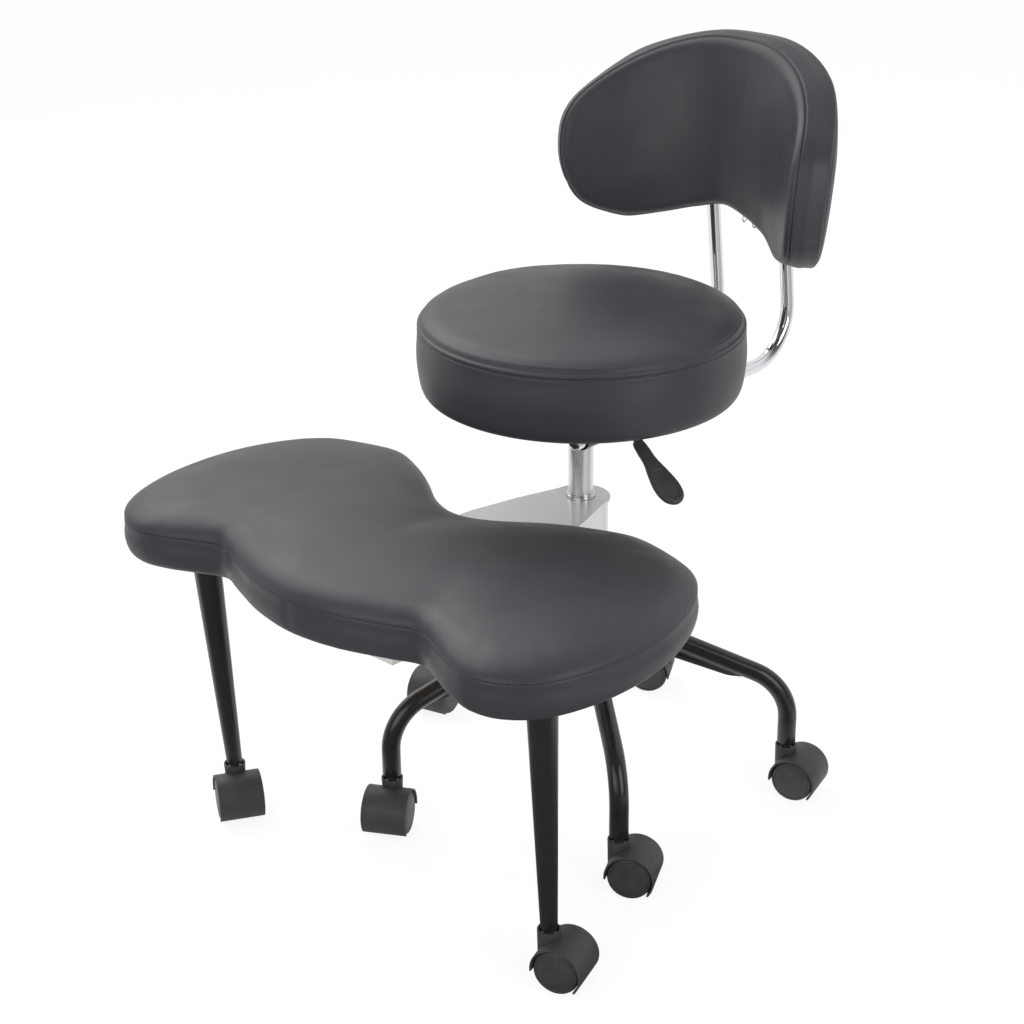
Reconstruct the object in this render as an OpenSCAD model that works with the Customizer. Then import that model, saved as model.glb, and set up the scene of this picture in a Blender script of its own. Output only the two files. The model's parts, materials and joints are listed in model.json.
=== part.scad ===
// Cross-legged office chair: a round seat on a gas lift, a wrap-around back on two bent
// tubes, a five-legged rolling base, and a padded footstool on an arm that swings round
// the column. Millimetres, Z up, the front towards -Y, the floor at z = 0.

/* [Seat] */
// Radius of the round seat
seat_r = 180; // [170:1:190]
// Height of the seat's top seam above the floor
seat_seam_z = 570; // [565:1:600]
// Height of the seat's side wall, from its underside to the seam
seat_side_h = 73; // [60:1:80]
// Rise of the seat's crown above the seam
seat_crown = 22; // [12:1:30]
// How much narrower the side wall is at its foot
seat_taper = 3; // [0:1:6]
// Rounding of the side wall's foot
seat_edge_r = 4; // [2:1:8]
// Thickness of the plywood under the seat
seat_board_t = 12; // [9:1:15]

/* [Back rest] */
// Height of the top of the back above the seat's seam
back_rise = 265; // [240:1:290]
// Height of the back's outline
back_h = 210; // [190:1:220]
// Half the width of the back, along its curve
back_half_arc = 208; // [190:1:215]
// Radius of the curve of the back's front seam
back_bend_r = 186; // [180:1:200]
// Distance of the curve's centre behind the column
back_bend_y = 55; // [50:1:62]
// Backward lean of the back, in degrees
back_lean = 8; // [5:0.5:10]
// Thickness of the back's side panel, seam to seam
back_side_t = 36; // [32:1:40]
// Swell of the front face past the seam
back_crown = 12; // [8:1:15]
// Swell of the rear face past its seam
back_rear_crown = 5; // [3:0.5:7]
// Thickness of the curved board in the back
back_board_t = 8; // [6:1:9]
// Diameter of the two chrome tubes
back_tube_d = 16; // [14:0.5:18]
// Distance of each tube from the middle of the chair
back_tube_x = 52; // [48:1:56]
// Bend radius of the tubes, to the centre line
back_tube_bend_r = 60; // [50:1:65]
// Forward lean of the rising tubes, in degrees
back_tube_lean = 7; // [5:0.5:8]

/* [Seat mechanism] */
// Width of the pressed pan under the seat
pan_w = 150; // [146:1:160]
// Length of the pan
pan_l = 170; // [160:1:180]
// Depth of the pan
pan_h = 29; // [28:1:32]
// Thickness of its sheet steel
sheet_t = 3; // [2.5:0.5:3.5]
// Diameter of the lever's rod
lever_rod_d = 6; // [5:0.5:7]
// Length of the lever's plastic paddle
paddle_l = 88; // [70:1:95]
// Width of the paddle
paddle_w = 30; // [24:1:34]
// Thickness of the paddle
paddle_t = 7; // [6:0.5:9]
// Direction of the lever, in degrees forward of sideways
lever_turn = 18; // [15:1:20]
// Downward slope of the lever's outer part, in degrees
lever_slope = 27.4; // [24:0.2:30]

/* [Gas lift] */
// Diameter of the chrome gas cylinder
gas_d = 28; // [27:0.5:29]
// Outer diameter of the column tube
column_d = 50; // [49:0.5:51]
// Wall of the column tube
column_wall = 2; // [1.5:0.5:2.5]
// Diameter of the piston rod
piston_rod_d = 10; // [8:0.5:11]
// How far the seat can come down from where it stands
lift_down = 12; // [8:1:14]
// How far the seat can go up
lift_up = 68; // [50:1:72]

/* [Footstool arm] */
// Height of the arm's top plate
arm_top_z = 361; // [359:1:365]
// Radius of the plate's round end at the column
arm_end_r = 33.5; // [33:0.5:36]
// Reach of the top plate in front of the column
arm_plate_l = 150; // [140:1:154]
// Half width of the plate at its front
arm_front_half_w = 68; // [60:1:72]
// Depth of the arm's side walls, with the plate
arm_h = 61; // [50:1:66]
// Reach of the tray under the footstool
arm_tray_reach = 350; // [330:1:370]
// Half width of the tray at its front
arm_tray_half_w = 52; // [48:1:60]

/* [Footstool] */
// Half the width of the butterfly pad
stool_half_w = 330; // [320:1:340]
// Reach of the pad's front edge in front of the column
stool_front = 441; // [436:1:446]
// Depth of the pad, front to back over its lobes
stool_depth = 334; // [328:1:336]
// Height of the pad's underside above the floor
stool_base_z = 352; // [350:1:356]
// Height of the pad's side wall, up to the seam
stool_side_h = 41; // [36:1:43]
// Rise of the pad's crown above the seam
stool_crown = 21; // [12:1:22]
// Thickness of the plywood under the pad
stool_board_t = 12; // [9:1:15]
// Distance of each leg's foot from the middle
stool_leg_x = 245; // [235:1:250]
// Distance of the legs' feet in front of the column
stool_leg_y = 327; // [320:1:335]
// How much further out the top of a leg stands
stool_leg_splay = 6; // [0:1:10]
// How much further forward the top of a leg stands
stool_leg_rake = 16; // [10:1:20]
// Diameter of a tapered leg at its top
stool_leg_top_d = 33; // [28:1:36]
// Diameter of a tapered leg at its foot
stool_leg_foot_d = 18; // [17:0.5:22]

/* [Rolling base] */
// Distance of the casters' stems from the column
base_reach = 243; // [235:1:250]
// Diameter of the bent leg tubes
leg_d = 21.5; // [20:0.5:24]
// Downward slope of the legs, in degrees
leg_slope = 20.5; // [18:0.5:22]
// Bend radius of a leg, to the centre line
leg_bend_r = 60; // [45:1:65]
// Height of the legs' centre line at the hub
leg_hub_z = 217.5; // [212:0.5:222]
// Thickness of the strengthening fin under a leg
fin_t = 5; // [4:0.5:8]
// Direction of the first leg, in degrees from the sitter's left
leg_turn = 33.2; // [25:0.2:40]
// Outer diameter of the hub
hub_d = 58; // [57:0.5:60]
// Length of the hub
hub_l = 86; // [80:1:88]

/* [Casters] */
// Diameter of a wheel
wheel_d = 50; // [48:1:52]
// Width of one wheel
wheel_w = 17; // [15:0.5:17.5]
// Distance of the axle behind the stem
caster_trail = 17; // [15:0.5:19]
// Width of the hood
hood_w = 52; // [51:0.5:54]
// Diameter of the caster's stem
stem_d = 11; // [10:0.5:11]
// Diameter of the axle
axle_d = 6; // [5:0.5:7]
// Height of the cup's rim above the floor
cup_top_z = 60.3; // [58:0.1:61]
// Outer diameter of the cup round the stem
cup_d = 24.8; // [23:0.2:26]

/* [Hidden] */

$fn = 64;
overrun = 1;

// Clearances
running_gap = 0.06;
fixed_gap = 0.05;
flat_gap = 0.3;
weld_gap = 0.1;

// Heights in the seat
seat_base_z = seat_seam_z - seat_side_h;
seat_board_inset = 6;
seat_board_r = seat_r - seat_board_inset;
seam_nip = 3;
seam_lip = 2;

// Heights in the mechanism
pan_floor_z = seat_base_z - pan_h;
pan_y = 10;
pan_corner_r = 18;
pan_flange = 14;
back_tube_r = back_tube_d / 2;
back_tube_z = pan_floor_z - back_tube_r - weld_gap;
lever_rise = 15;
lever_z = pan_floor_z + lever_rise;
pivot_reach = 36;
pivot_pin_d = 4;
pivot_eye_d = 11;
pivot_eye_w = 7;
lever_tail = 5;
lever_bend_reach = 88;
paddle_start = 35;
pin_stand = 5;
release_pin_d = 6;
release_pin_l = 40;
release_pin_top_z = lever_z - lever_rod_d / 2 - flat_gap;
gas_top_z = release_pin_top_z - pin_stand;
socket_wall = 4;
socket_l = 20;

// Heights in the column
column_foot_t = 6;
hub_rise = 1.5;
hub_foot_z = leg_hub_z - hub_l / 2 + hub_rise;
column_foot_drop = 4;
column_foot_z = hub_foot_z - column_foot_drop;
bush_flange_t = 3;
column_top_drop = 12;
column_top_z = arm_top_z - sheet_t - column_top_drop;
guide_bush_l = 82;
bearing_t = 6;
gas_room = 9;
gas_foot_z = column_foot_z + column_foot_t + bearing_t + lift_down + gas_room;
gas_wall = 2;
gas_cap_t = 8;
bearing_r = 18;
rod_head_t = 12;
rod_head_room = 7;
rod_head_z = gas_foot_z + lift_up + gas_cap_t + rod_head_room;
rod_clip_t = 3;
rod_clip_r = 9;

// Sizes in the arm
arm_edge = 2.5;
arm_wall_r = arm_end_r - arm_edge;
bush_wall = 3;
bush_flange_r = arm_wall_r - weld_gap;
arm_hub_foot_z = hub_foot_z + hub_l + bush_flange_t + flat_gap;
plate_hole_gap = 2;
plate_hole_r = gas_d / 2 + plate_hole_gap;
nose_gap = 0.6;
nose_r = plate_hole_r - nose_gap;

// Screws
small_screw_d = 5;
big_screw_d = 6;
screw_head_h = 3.5;

// Stool
stool_mid_y = stool_front - stool_depth / 2;
stool_seam_z = stool_base_z + stool_side_h;
tray_screw_x = 38;
leg_plate_w = 72;
leg_plate_corner_r = 12;
stool_leg_weld_turn = 40;

// Casters
wheel_r = wheel_d / 2;
hood_t = 2.2;
wheel_gap = 0.8;
hood_r = wheel_r + wheel_gap + hood_t;
hood_front_angle = 186;
hood_rear_angle = -40;
wheel_inset = 1.5;
web_half_w = hood_w / 2 - wheel_w - wheel_inset - flat_gap;
cup_depth = 10;
cup_floor_z = cup_top_z - cup_depth;
cup_wall = 2;
collar_h = 4;
collar_r = 8.5;
stem_foot_rise = 11;
stem_foot_z = wheel_r + stem_foot_rise;
leg_foot_gap = 1.7;
leg_end_z = cup_top_z + leg_foot_gap;
stem_grip_l = 42;

// Legs and casters turn about the column. Legs 1 to 5 carry casters 1 to 5, and the
// footstool's right and left legs carry casters 6 and 7.
leg_angles = [for (k = [0:4]) leg_turn + k * 360 / 5];
caster_turns = [15, -150, -75, -60, 27, -31, 18];

// Outlines, as shares of half the width and half the height, clockwise from the top
stool_outline_shares = [
    [0, 1], [0.18, 0.95], [0.34, 0.83], [0.44, 0.75], [0.53, 0.81], [0.64, 0.90],
    [0.74, 0.94], [0.84, 0.885], [0.93, 0.72], [0.985, 0.43],
    [1, 0.08], [0.975, -0.28], [0.91, -0.62], [0.825, -0.83], [0.71, -0.94],
    [0.545, -1], [0.41, -0.905], [0.29, -0.77], [0.167, -0.60], [0.075, -0.515], [0, -0.49],
];
back_outline_shares = [
    [0, 1], [0.20, 0.985], [0.40, 0.89], [0.60, 0.73], [0.80, 0.50], [0.94, 0.27],
    [1, -0.02], [0.98, -0.42], [0.86, -0.80], [0.66, -0.97], [0.42, -1], [0.19, -0.89], [0, -0.81],
];
paddle_outline_shares = [
    [0, 0.36], [0.12, 0.50], [0.30, 0.54], [0.50, 0.80], [0.70, 1], [0.86, 0.93], [0.96, 0.60], [1, 0],
];
stool_spine_share = 0.66;
back_spine_share = 0.62;

// How far the object reaches behind the column, and the column's place between the two
back_top_z = seat_seam_z + back_rise;
back_mid_z = back_top_z - back_h / 2;
back_knee_share = 0.857;
back_tube_knee_z = back_top_z - back_h * back_knee_share;
back_lean_rise = 30;
back_lean_z = seat_seam_z + back_lean_rise;
back_plate_t = 3;
back_rear_t = back_side_t + back_rear_crown;
back_knee_y = back_face_y(back_tube_x, back_rear_t, back_tube_knee_z)
    + back_plate_t + back_tube_r - overrun;
back_tube_corner_y = back_knee_y + (back_tube_knee_z - back_tube_z) * tan(back_tube_lean);
back_tube_rest = 108;
back_tube_top_z = back_tube_knee_z + back_tube_rest;
back_reach = back_tube_corner_y + back_tube_r
    - back_tube_bend_r * (tan(45 + back_tube_lean / 2) - 1);
column_y = (stool_front - back_reach) / 2;

// Y of the back's face at a distance x from the middle, a depth behind the front seam
function back_face_y(x, depth, z) =
    back_bend_y + sqrt((back_bend_r + depth) ^ 2 - x ^ 2) + tan(back_lean) * (z - back_lean_z);

// A smooth closed curve through points, with so many steps from each to the next
function curve_point(a, b, c, d, t) =
    (2 * b + (c - a) * t + (2 * a - 5 * b + 4 * c - d) * t ^ 2 + (3 * b - a - 3 * c + d) * t ^ 3) / 2;
function smooth(p, steps) = [
    for (i = [0:len(p) - 1], s = [0:steps - 1])
        curve_point(
            p[(i + len(p) - 1) % len(p)], p[i], p[(i + 1) % len(p)], p[(i + 2) % len(p)], s / steps)
];

// The whole outline from its right half, which runs from the top to the bottom
function both_sides(half) = concat(half, [for (i = [len(half) - 2:-1:1]) [-half[i].x, half[i].y]]);
function scaled(p, w, h) = [for (q = p) [q.x * w, q.y * h]];

// An outline moved inwards by a distance
function unit(v) = v / norm(v);
function inward(p, i) =
    let (v = unit(p[(i + 1) % len(p)] - p[(i + len(p) - 1) % len(p)])) [v.y, -v.x];
function inset(p, d) = [for (i = [0:len(p) - 1]) p[i] + d * inward(p, i)];

// An outline drawn towards a spine that runs across it, by a share of the way
function drawn_in(p, spine_share, t) = [
    for (i = [0:len(p) - 1])
        let (j = (len(p) / 2 - i + len(p)) % len(p))
            p[i] * (1 - t) + t * [p[i].x * spine_share, (p[i].y + p[j].y) / 2]
];

// The faces of a skin over rings of n points each, closed at both ends by strips that
// join the front half of a ring to its rear half
function skin_faces(n, rings) = concat(
    [for (k = [0:rings - 2], i = [0:n - 1]) [(k + 1) * n + i, k * n + (i + 1) % n, k * n + i]],
    [for (k = [0:rings - 2], i = [0:n - 1])
        [(k + 1) * n + i, (k + 1) * n + (i + 1) % n, k * n + (i + 1) % n]],
    cap_faces(n, 0, false),
    cap_faces(n, (rings - 1) * n, true)
);
function facing(f, flip) = flip ? [f[2], f[1], f[0]] : f;
function cap_faces(n, start, flip) = [
    for (i = [0:n / 4 - 1], side = [0, 1])
        let (
            a = side == 0 ? i : (n - i) % n,
            b = side == 0 ? i + 1 : n - i - 1,
            c = side == 0 ? n / 2 - i - 1 : n / 2 + i + 1,
            d = side == 0 ? n / 2 - i : n / 2 + i,
            turn = side == 0 ? flip : !flip
        )
        each concat(
            [facing([start + a, start + b, start + d], turn)],
            b == c ? [] : [facing([start + b, start + c, start + d], turn)]
        )
];

// Shared shapes

module at_column() {
    translate([0, column_y, 0]) children();
}

module rod(a, b, r) {
    v = b - a;
    translate(a) rotate([0, acos(v.z / norm(v)), atan2(v.y, v.x)]) cylinder(h = norm(v), r = r);
}

function corner(x, y, r, from) = [for (a = [0:15:90]) [x + r * cos(from + a), y + r * sin(from + a)]];
function rounded_box(w, l, r) = concat(
    corner(w / 2 - r, l / 2 - r, r, 0), corner(r - w / 2, l / 2 - r, r, 90),
    corner(r - w / 2, r - l / 2, r, 180), corner(w / 2 - r, r - l / 2, r, 270)
);

module plate(w, l, r, t) {
    linear_extrude(t) polygon(rounded_box(w, l, r));
}

module ring(r_out, r_in, h) {
    difference() {
        cylinder(h = h, r = r_out);
        translate([0, 0, -overrun]) cylinder(h = h + 2 * overrun, r = r_in);
    }
}

// A screw whose head hangs below z = 0 and whose shank goes up
module screw(d, shank) {
    translate([0, 0, -screw_head_h]) cylinder(h = screw_head_h, r = d);
    cylinder(h = shank, r = d / 2);
}

// Rolling base

module base_hub() {
    color("#232427") at_column() translate([0, 0, hub_foot_z])
        ring(hub_d / 2, column_d / 2 + fixed_gap, hub_l);
}

// A tube along corner points in the XY plane. Its bends are a hair fatter than the
// straights, which run a little way into them.
function turn_at(p, i) =
    let (a = p[i] - p[i - 1], b = p[i + 1] - p[i]) atan2(a.x * b.y - a.y * b.x, a * b);
function cut_back(p, i, bend_r) =
    i == 0 || i == len(p) - 1 ? 0 : bend_r * tan(abs(turn_at(p, i)) / 2) - overrun;

module bent_tube(p, bend_r, r) {
    for (i = [0:len(p) - 2])
        let (v = p[i + 1] - p[i], start = cut_back(p, i, bend_r), end = cut_back(p, i + 1, bend_r))
            translate(p[i]) rotate([0, 90, atan2(v.y, v.x)]) translate([0, 0, start])
                cylinder(h = norm(v) - start - end, r = r - fixed_gap);
    for (i = [1:len(p) - 2])
        let (v = p[i] - p[i - 1], turn = turn_at(p, i), side = sign(turn))
            translate(p[i]) rotate(atan2(v.y, v.x))
                translate([-bend_r * tan(abs(turn) / 2), side * bend_r, 0]) rotate(-side * 90)
                    rotate_extrude(angle = turn) translate([bend_r, 0]) circle(r = r);
}

// One leg along +X: a sloping tube, a bend, an upright end, and a fin under the slope
leg_r = leg_d / 2;
leg_corner_z = leg_hub_z - (base_reach - hub_d / 2) * tan(leg_slope);
leg_axis_z = leg_hub_z + hub_d / 2 * tan(leg_slope);
leg_bend_start_x = base_reach - leg_bend_r * tan((90 - leg_slope) / 2) * cos(leg_slope);
fin_end_x = leg_bend_start_x - leg_r;
fin_drop_hub = 32;
fin_drop_end = 16.5;

module fin() {
    rotate([90, 0, 0]) linear_extrude(fin_t, center = true) polygon([
        [0, leg_axis_z],
        [fin_end_x, leg_axis_z - fin_end_x * tan(leg_slope)],
        [fin_end_x, leg_axis_z - fin_end_x * tan(leg_slope) - fin_drop_end],
        [0, leg_axis_z - fin_drop_hub],
    ]);
}

module leg(k) {
    color("#1d1e20") at_column() rotate([0, 0, leg_angles[k]]) difference() {
        union() {
            rotate([90, 0, 0]) bent_tube(
                [[0, leg_axis_z], [base_reach, leg_corner_z], [base_reach, leg_end_z]], leg_bend_r, leg_r);
            fin();
        }
        cylinder(h = leg_hub_z + hub_l, r = hub_d / 2 + weld_gap);
        translate([base_reach, 0, leg_end_z - overrun])
            cylinder(h = stem_grip_l + overrun, r = stem_d / 2 + fixed_gap);
    }
}

module column_tube() {
    color("#26272a") at_column() {
        translate([0, 0, column_foot_z])
            ring(column_d / 2, column_d / 2 - column_wall, column_top_z - column_foot_z);
        translate([0, 0, column_foot_z])
            ring(column_d / 2 - column_wall, piston_rod_d / 2 + running_gap, column_foot_t);
    }
}

module guide_bush() {
    color("#303134") at_column() difference() {
        union() {
            translate([0, 0, column_top_z - guide_bush_l])
                cylinder(h = guide_bush_l, r = column_d / 2 - column_wall - fixed_gap);
            translate([0, 0, column_top_z]) cylinder(h = bush_flange_t, r = column_d / 2);
            translate([0, 0, column_top_z])
                cylinder(h = arm_top_z + bush_flange_t - column_top_z, r = nose_r);
        }
        translate([0, 0, column_foot_z]) cylinder(h = arm_top_z, r = gas_d / 2 + running_gap);
    }
}

// A stem, with the collar that stands on the floor of the caster's cup
module stem() {
    stem_l = leg_end_z + stem_grip_l - overrun - stem_foot_z;
    translate([0, 0, stem_foot_z]) cylinder(h = stem_l, r = stem_d / 2);
    translate([0, 0, cup_floor_z + flat_gap]) cylinder(h = collar_h, r = collar_r);
}

module base_caster_stems() {
    color("#c9cacc") for (k = [0:4]) at_caster(k) stem();
}

// Gas lift

module piston_rod() {
    clip_z = column_foot_z - flat_gap - rod_clip_t;
    color("#b9bbbe") at_column() {
        translate([0, 0, clip_z]) cylinder(h = rod_head_z + rod_head_t - clip_z, r = piston_rod_d / 2);
        translate([0, 0, clip_z]) cylinder(h = rod_clip_t, r = rod_clip_r);
        translate([0, 0, rod_head_z])
            cylinder(h = rod_head_t, r = gas_d / 2 - gas_wall - running_gap);
    }
}

module thrust_bearing() {
    color("#8f9194") at_column() translate([0, 0, column_foot_z + column_foot_t + flat_gap])
        ring(bearing_r, piston_rod_d / 2 + fixed_gap, bearing_t);
}

module gas_cylinder() {
    color("#d9dadc") at_column() difference() {
        translate([0, 0, gas_foot_z]) cylinder(h = gas_top_z - gas_foot_z, r = gas_d / 2);
        translate([0, 0, gas_foot_z + gas_cap_t])
            cylinder(h = gas_top_z - gas_foot_z - 2 * gas_cap_t, r = gas_d / 2 - gas_wall);
        translate([0, 0, gas_foot_z - overrun])
            cylinder(h = gas_cap_t + 2 * overrun, r = piston_rod_d / 2 + running_gap);
        translate([0, 0, gas_top_z - gas_cap_t - overrun])
            cylinder(h = gas_cap_t + 2 * overrun, r = release_pin_d / 2 + running_gap);
    }
}

module release_pin() {
    color("#b0b2b5") at_column() translate([0, 0, release_pin_top_z - release_pin_l])
        cylinder(h = release_pin_l, r = release_pin_d / 2);
}

// Seat mechanism

strap_ys = [-48, 62];
strap_w = 22;
strap_t = 2.5;
strap_foot = 22;
strap_screw_x = 17;
flange_screw_inset = 6;
flange_screws = [for (x = [-1, 1], y = [-1, 1]) [
    x * (pan_w / 2 - flange_screw_inset), pan_y + y * (pan_l / 2 + pan_flange / 2)
]];

module at_lever() {
    at_column() rotate([0, 0, -lever_turn]) children();
}

module pan_shell() {
    difference() {
        union() {
            translate([0, pan_y, seat_base_z - sheet_t])
                plate(pan_w + 2 * pan_flange, pan_l + 2 * pan_flange, pan_corner_r + pan_flange, sheet_t);
            translate([0, pan_y, pan_floor_z]) plate(pan_w, pan_l, pan_corner_r, pan_h);
        }
        translate([0, pan_y, pan_floor_z + sheet_t])
            plate(pan_w - 2 * sheet_t, pan_l - 2 * sheet_t, pan_corner_r - sheet_t, pan_h);
        rotate([0, 0, -lever_turn]) translate([pan_w / 4, -lever_slot_w / 2, pan_floor_z + sheet_t])
            cube([pan_w / 2, lever_slot_w, pan_h - 2 * sheet_t]);
        for (p = flange_screws) translate([p.x, p.y, pan_floor_z])
            cylinder(h = pan_h + overrun, r = big_screw_d / 2 + fixed_gap);
        for (x = [-back_tube_x, back_tube_x], side = [-1, 1], y = strap_ys)
            translate([x + side * strap_screw_x, y, pan_floor_z - overrun])
                cylinder(h = sheet_t + 2 * overrun, r = small_screw_d / 2 + fixed_gap);
    }
}
lever_slot_w = 14;

module pivot_ears() {
    rotate([0, 0, -lever_turn]) {
        for (side = [-1, 1]) translate([
            pivot_reach - pivot_eye_d / 2, side * (pivot_eye_w / 2 + flat_gap + sheet_t / 2) - sheet_t / 2,
            pan_floor_z + sheet_t / 2])
            cube([pivot_eye_d, sheet_t, lever_z + pivot_pin_d - pan_floor_z - sheet_t / 2]);
        translate([pivot_reach, 0, lever_z]) rotate([90, 0, 0])
            cylinder(h = pivot_eye_w + 2 * (flat_gap + sheet_t), r = pivot_pin_d / 2, center = true);
    }
}

module seat_mount() {
    color("#2b2c2f") at_column() difference() {
        union() {
            pan_shell();
            pivot_ears();
            translate([0, 0, pan_floor_z - socket_l / 2])
                cylinder(h = socket_l / 2 + sheet_t + socket_wall, r = gas_d / 2 + socket_wall);
        }
        translate([0, 0, pan_floor_z - socket_l])
            cylinder(h = 2 * socket_l, r = gas_d / 2 + fixed_gap);
    }
}

module strap_profile() {
    wrap_r = back_tube_r + strap_t + fixed_gap;
    drop = back_tube_r + weld_gap;
    difference() {
        union() {
            circle(r = wrap_r);
            translate([-wrap_r, 0]) square([2 * wrap_r, drop]);
            translate([-strap_foot, drop - strap_t]) square([2 * strap_foot, strap_t]);
        }
        circle(r = back_tube_r + fixed_gap);
        translate([-back_tube_r - fixed_gap, 0]) square([back_tube_d + 2 * fixed_gap, drop + overrun]);
        translate([-strap_foot, drop]) square([2 * strap_foot, wrap_r]);
    }
}

module tube_clamps() {
    color("#3a3b3e") at_column() for (x = [-back_tube_x, back_tube_x], y = strap_ys) difference() {
        translate([x, y, back_tube_z]) rotate([90, 0, 0])
            linear_extrude(strap_w, center = true) strap_profile();
        for (side = [-1, 1]) translate([x + side * strap_screw_x, y, back_tube_z])
            cylinder(h = back_tube_d, r = small_screw_d / 2 + fixed_gap);
    }
}

module seat_screws() {
    color("#7c7e82") at_column() {
        for (x = [-back_tube_x, back_tube_x], side = [-1, 1], y = strap_ys)
            translate([x + side * strap_screw_x, y, pan_floor_z - strap_t])
                screw(small_screw_d, strap_t + sheet_t + 2 * overrun);
        for (p = flange_screws) translate([p.x, p.y, seat_base_z - sheet_t])
            screw(big_screw_d, sheet_t + seat_board_t / 2);
        bracket_screws() screw(small_screw_d, bracket_screw_l);
    }
}

module lever_rod() {
    bend = [lever_bend_reach, 0, lever_z];
    reach = paddle_start + paddle_l / 2;
    color("#1d1e20") at_lever() difference() {
        union() {
            rod([-lever_tail, 0, lever_z], bend, lever_rod_d / 2);
            translate(bend) sphere(r = lever_rod_d / 2);
            rod(bend, bend + reach * [cos(lever_slope), 0, -sin(lever_slope)], lever_rod_d / 2);
            translate([pivot_reach, 0, lever_z]) rotate([90, 0, 0])
                cylinder(h = pivot_eye_w, r = pivot_eye_d / 2, center = true);
        }
        translate([pivot_reach, 0, lever_z]) rotate([90, 0, 0])
            cylinder(h = pivot_eye_w + 2 * overrun, r = pivot_pin_d / 2 + running_gap, center = true);
    }
}

paddle_sleeve_r = 5.5;
paddle_rim = 2.5;
paddle_dish = 1.5;
paddle_dish_share = 0.52;
module lever_paddle() {
    half = [for (q = paddle_outline_shares) [q.x * paddle_l, q.y * paddle_w / 2]];
    outline = smooth(concat(half, [for (i = [len(half) - 2:-1:0]) [half[i].x, -half[i].y]]), 3);
    color("#1b1c1e") at_lever() translate([lever_bend_reach, 0, lever_z]) rotate([0, lever_slope, 0])
        translate([paddle_start, 0, 0]) difference() {
            union() {
                translate([0, 0, -paddle_t / 2]) linear_extrude(paddle_t) polygon(outline);
                rotate([0, 90, 0]) cylinder(h = paddle_l / 2, r1 = paddle_sleeve_r, r2 = paddle_t / 2);
            }
            translate([0, 0, paddle_t / 2 - paddle_dish]) linear_extrude(paddle_sleeve_r)
                polygon([for (q = inset(outline, paddle_rim)) if (q.x > paddle_l * paddle_dish_share) q]);
            rotate([0, 90, 0]) translate([0, 0, -overrun])
                cylinder(h = paddle_l / 2 + overrun + flat_gap, r = lever_rod_d / 2 + fixed_gap);
        }
}

// Seat

function seat_dome(share) = seat_seam_z + seat_crown * (1 - share ^ 5) ^ 0.8;
dome_shares = [0.985, 0.955, 0.91, 0.84, 0.75, 0.63, 0.48, 0.32, 0.16, 0];

module seat_cushion() {
    foot_r = seat_r - seat_taper;
    board_top = seat_base_z + seat_board_t;
    color("#3c3e43") at_column() rotate_extrude($fn = 128) polygon(concat(
        [[0, board_top], [seat_board_r, board_top], [seat_board_r, seat_base_z]],
        [for (a = [-90:30:0]) [
            foot_r - seat_edge_r + seat_edge_r * cos(a), seat_base_z + seat_edge_r + seat_edge_r * sin(a)]],
        [
            [seat_r, seat_seam_z - 4 * seam_lip],
            [seat_r - seam_lip / 2, seat_seam_z - seam_lip],
            [seat_r - seam_nip, seat_seam_z],
        ],
        [for (q = dome_shares) [q * (seat_r - seam_nip / 2), seat_dome(q)]]
    ));
}

module seat_board() {
    color("#c7a574") at_column() difference() {
        translate([0, 0, seat_base_z]) cylinder(h = seat_board_t, r = seat_board_r - flat_gap / 2);
        for (p = flange_screws) translate([p.x, p.y, seat_base_z - overrun])
            cylinder(h = seat_board_t / 2 + 2 * overrun, r = big_screw_d / 2 + fixed_gap);
    }
}

// Back rest

back_outline = smooth(scaled(both_sides(back_outline_shares), back_half_arc, back_h / 2), 3);

// A point of the flat outline, wrapped round the back's curve at a depth
function wrapped(q, depth) = let (a = q.x / back_bend_r * 180 / PI, z = back_mid_z + q.y) [
    (back_bend_r + depth) * sin(a),
    back_bend_y + (back_bend_r + depth) * cos(a) + tan(back_lean) * (z - back_lean_z),
    z
];
function wrapped_ring(p, depth) = [for (q = p) wrapped(q, depth)];

// Each row is an inset from the outline, a share of the way to the spine, and a depth
back_rings = [
    [seam_nip + seam_lip, 0.58, -back_crown],
    [seam_nip + seam_lip, 0.34, -back_crown * 0.94],
    [seam_nip + seam_lip, 0.17, -back_crown * 0.76],
    [seam_nip + seam_lip, 0.06, -back_crown * 0.42],
    [seam_nip, 0, 0],
    [seam_lip / 4, 0, seam_lip],
    [0, 0, back_side_t / 4],
    [0, 0, back_side_t * 3 / 4],
    [seam_lip / 4, 0, back_side_t - seam_lip],
    [seam_nip, 0, back_side_t],
    [seam_nip + seam_lip, 0.06, back_side_t + back_rear_crown * 0.7],
    [seam_nip + seam_lip, 0.18, back_rear_t],
    [seam_nip + seam_lip, 0.55, back_rear_t],
];
back_board_inset = 26;
back_cover_t = 3;
back_board_depth = back_rear_t - back_cover_t;

module back_skin(rings) {
    n = len(back_outline);
    points = [for (r = rings)
        each wrapped_ring(drawn_in(inset(back_outline, r[0]), back_spine_share, r[1]), r[2])];
    polyhedron(points, skin_faces(n, len(rings)));
}

module back_board_form() {
    board_front = back_board_depth - back_board_t;
    back_skin([
        [back_board_inset, 0.5, board_front], [back_board_inset, 0, board_front],
        [back_board_inset, 0, back_board_depth], [back_board_inset, 0.5, back_board_depth],
    ]);
}

// Screws and plates sit square to the rear face beside each tube
bracket_w = 48;
bracket_l = 84;
bracket_rise = 56;
bracket_z = back_tube_knee_z + bracket_rise;
bracket_screw_z = 30;
back_plate_turn = asin(back_tube_x / (back_bend_r + back_rear_t));

module at_bracket(side) {
    translate([side * back_tube_x, back_face_y(back_tube_x, back_rear_t, bracket_z), bracket_z])
        rotate([0, 0, -side * back_plate_turn]) rotate([-back_lean, 0, 0]) children();
}

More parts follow.
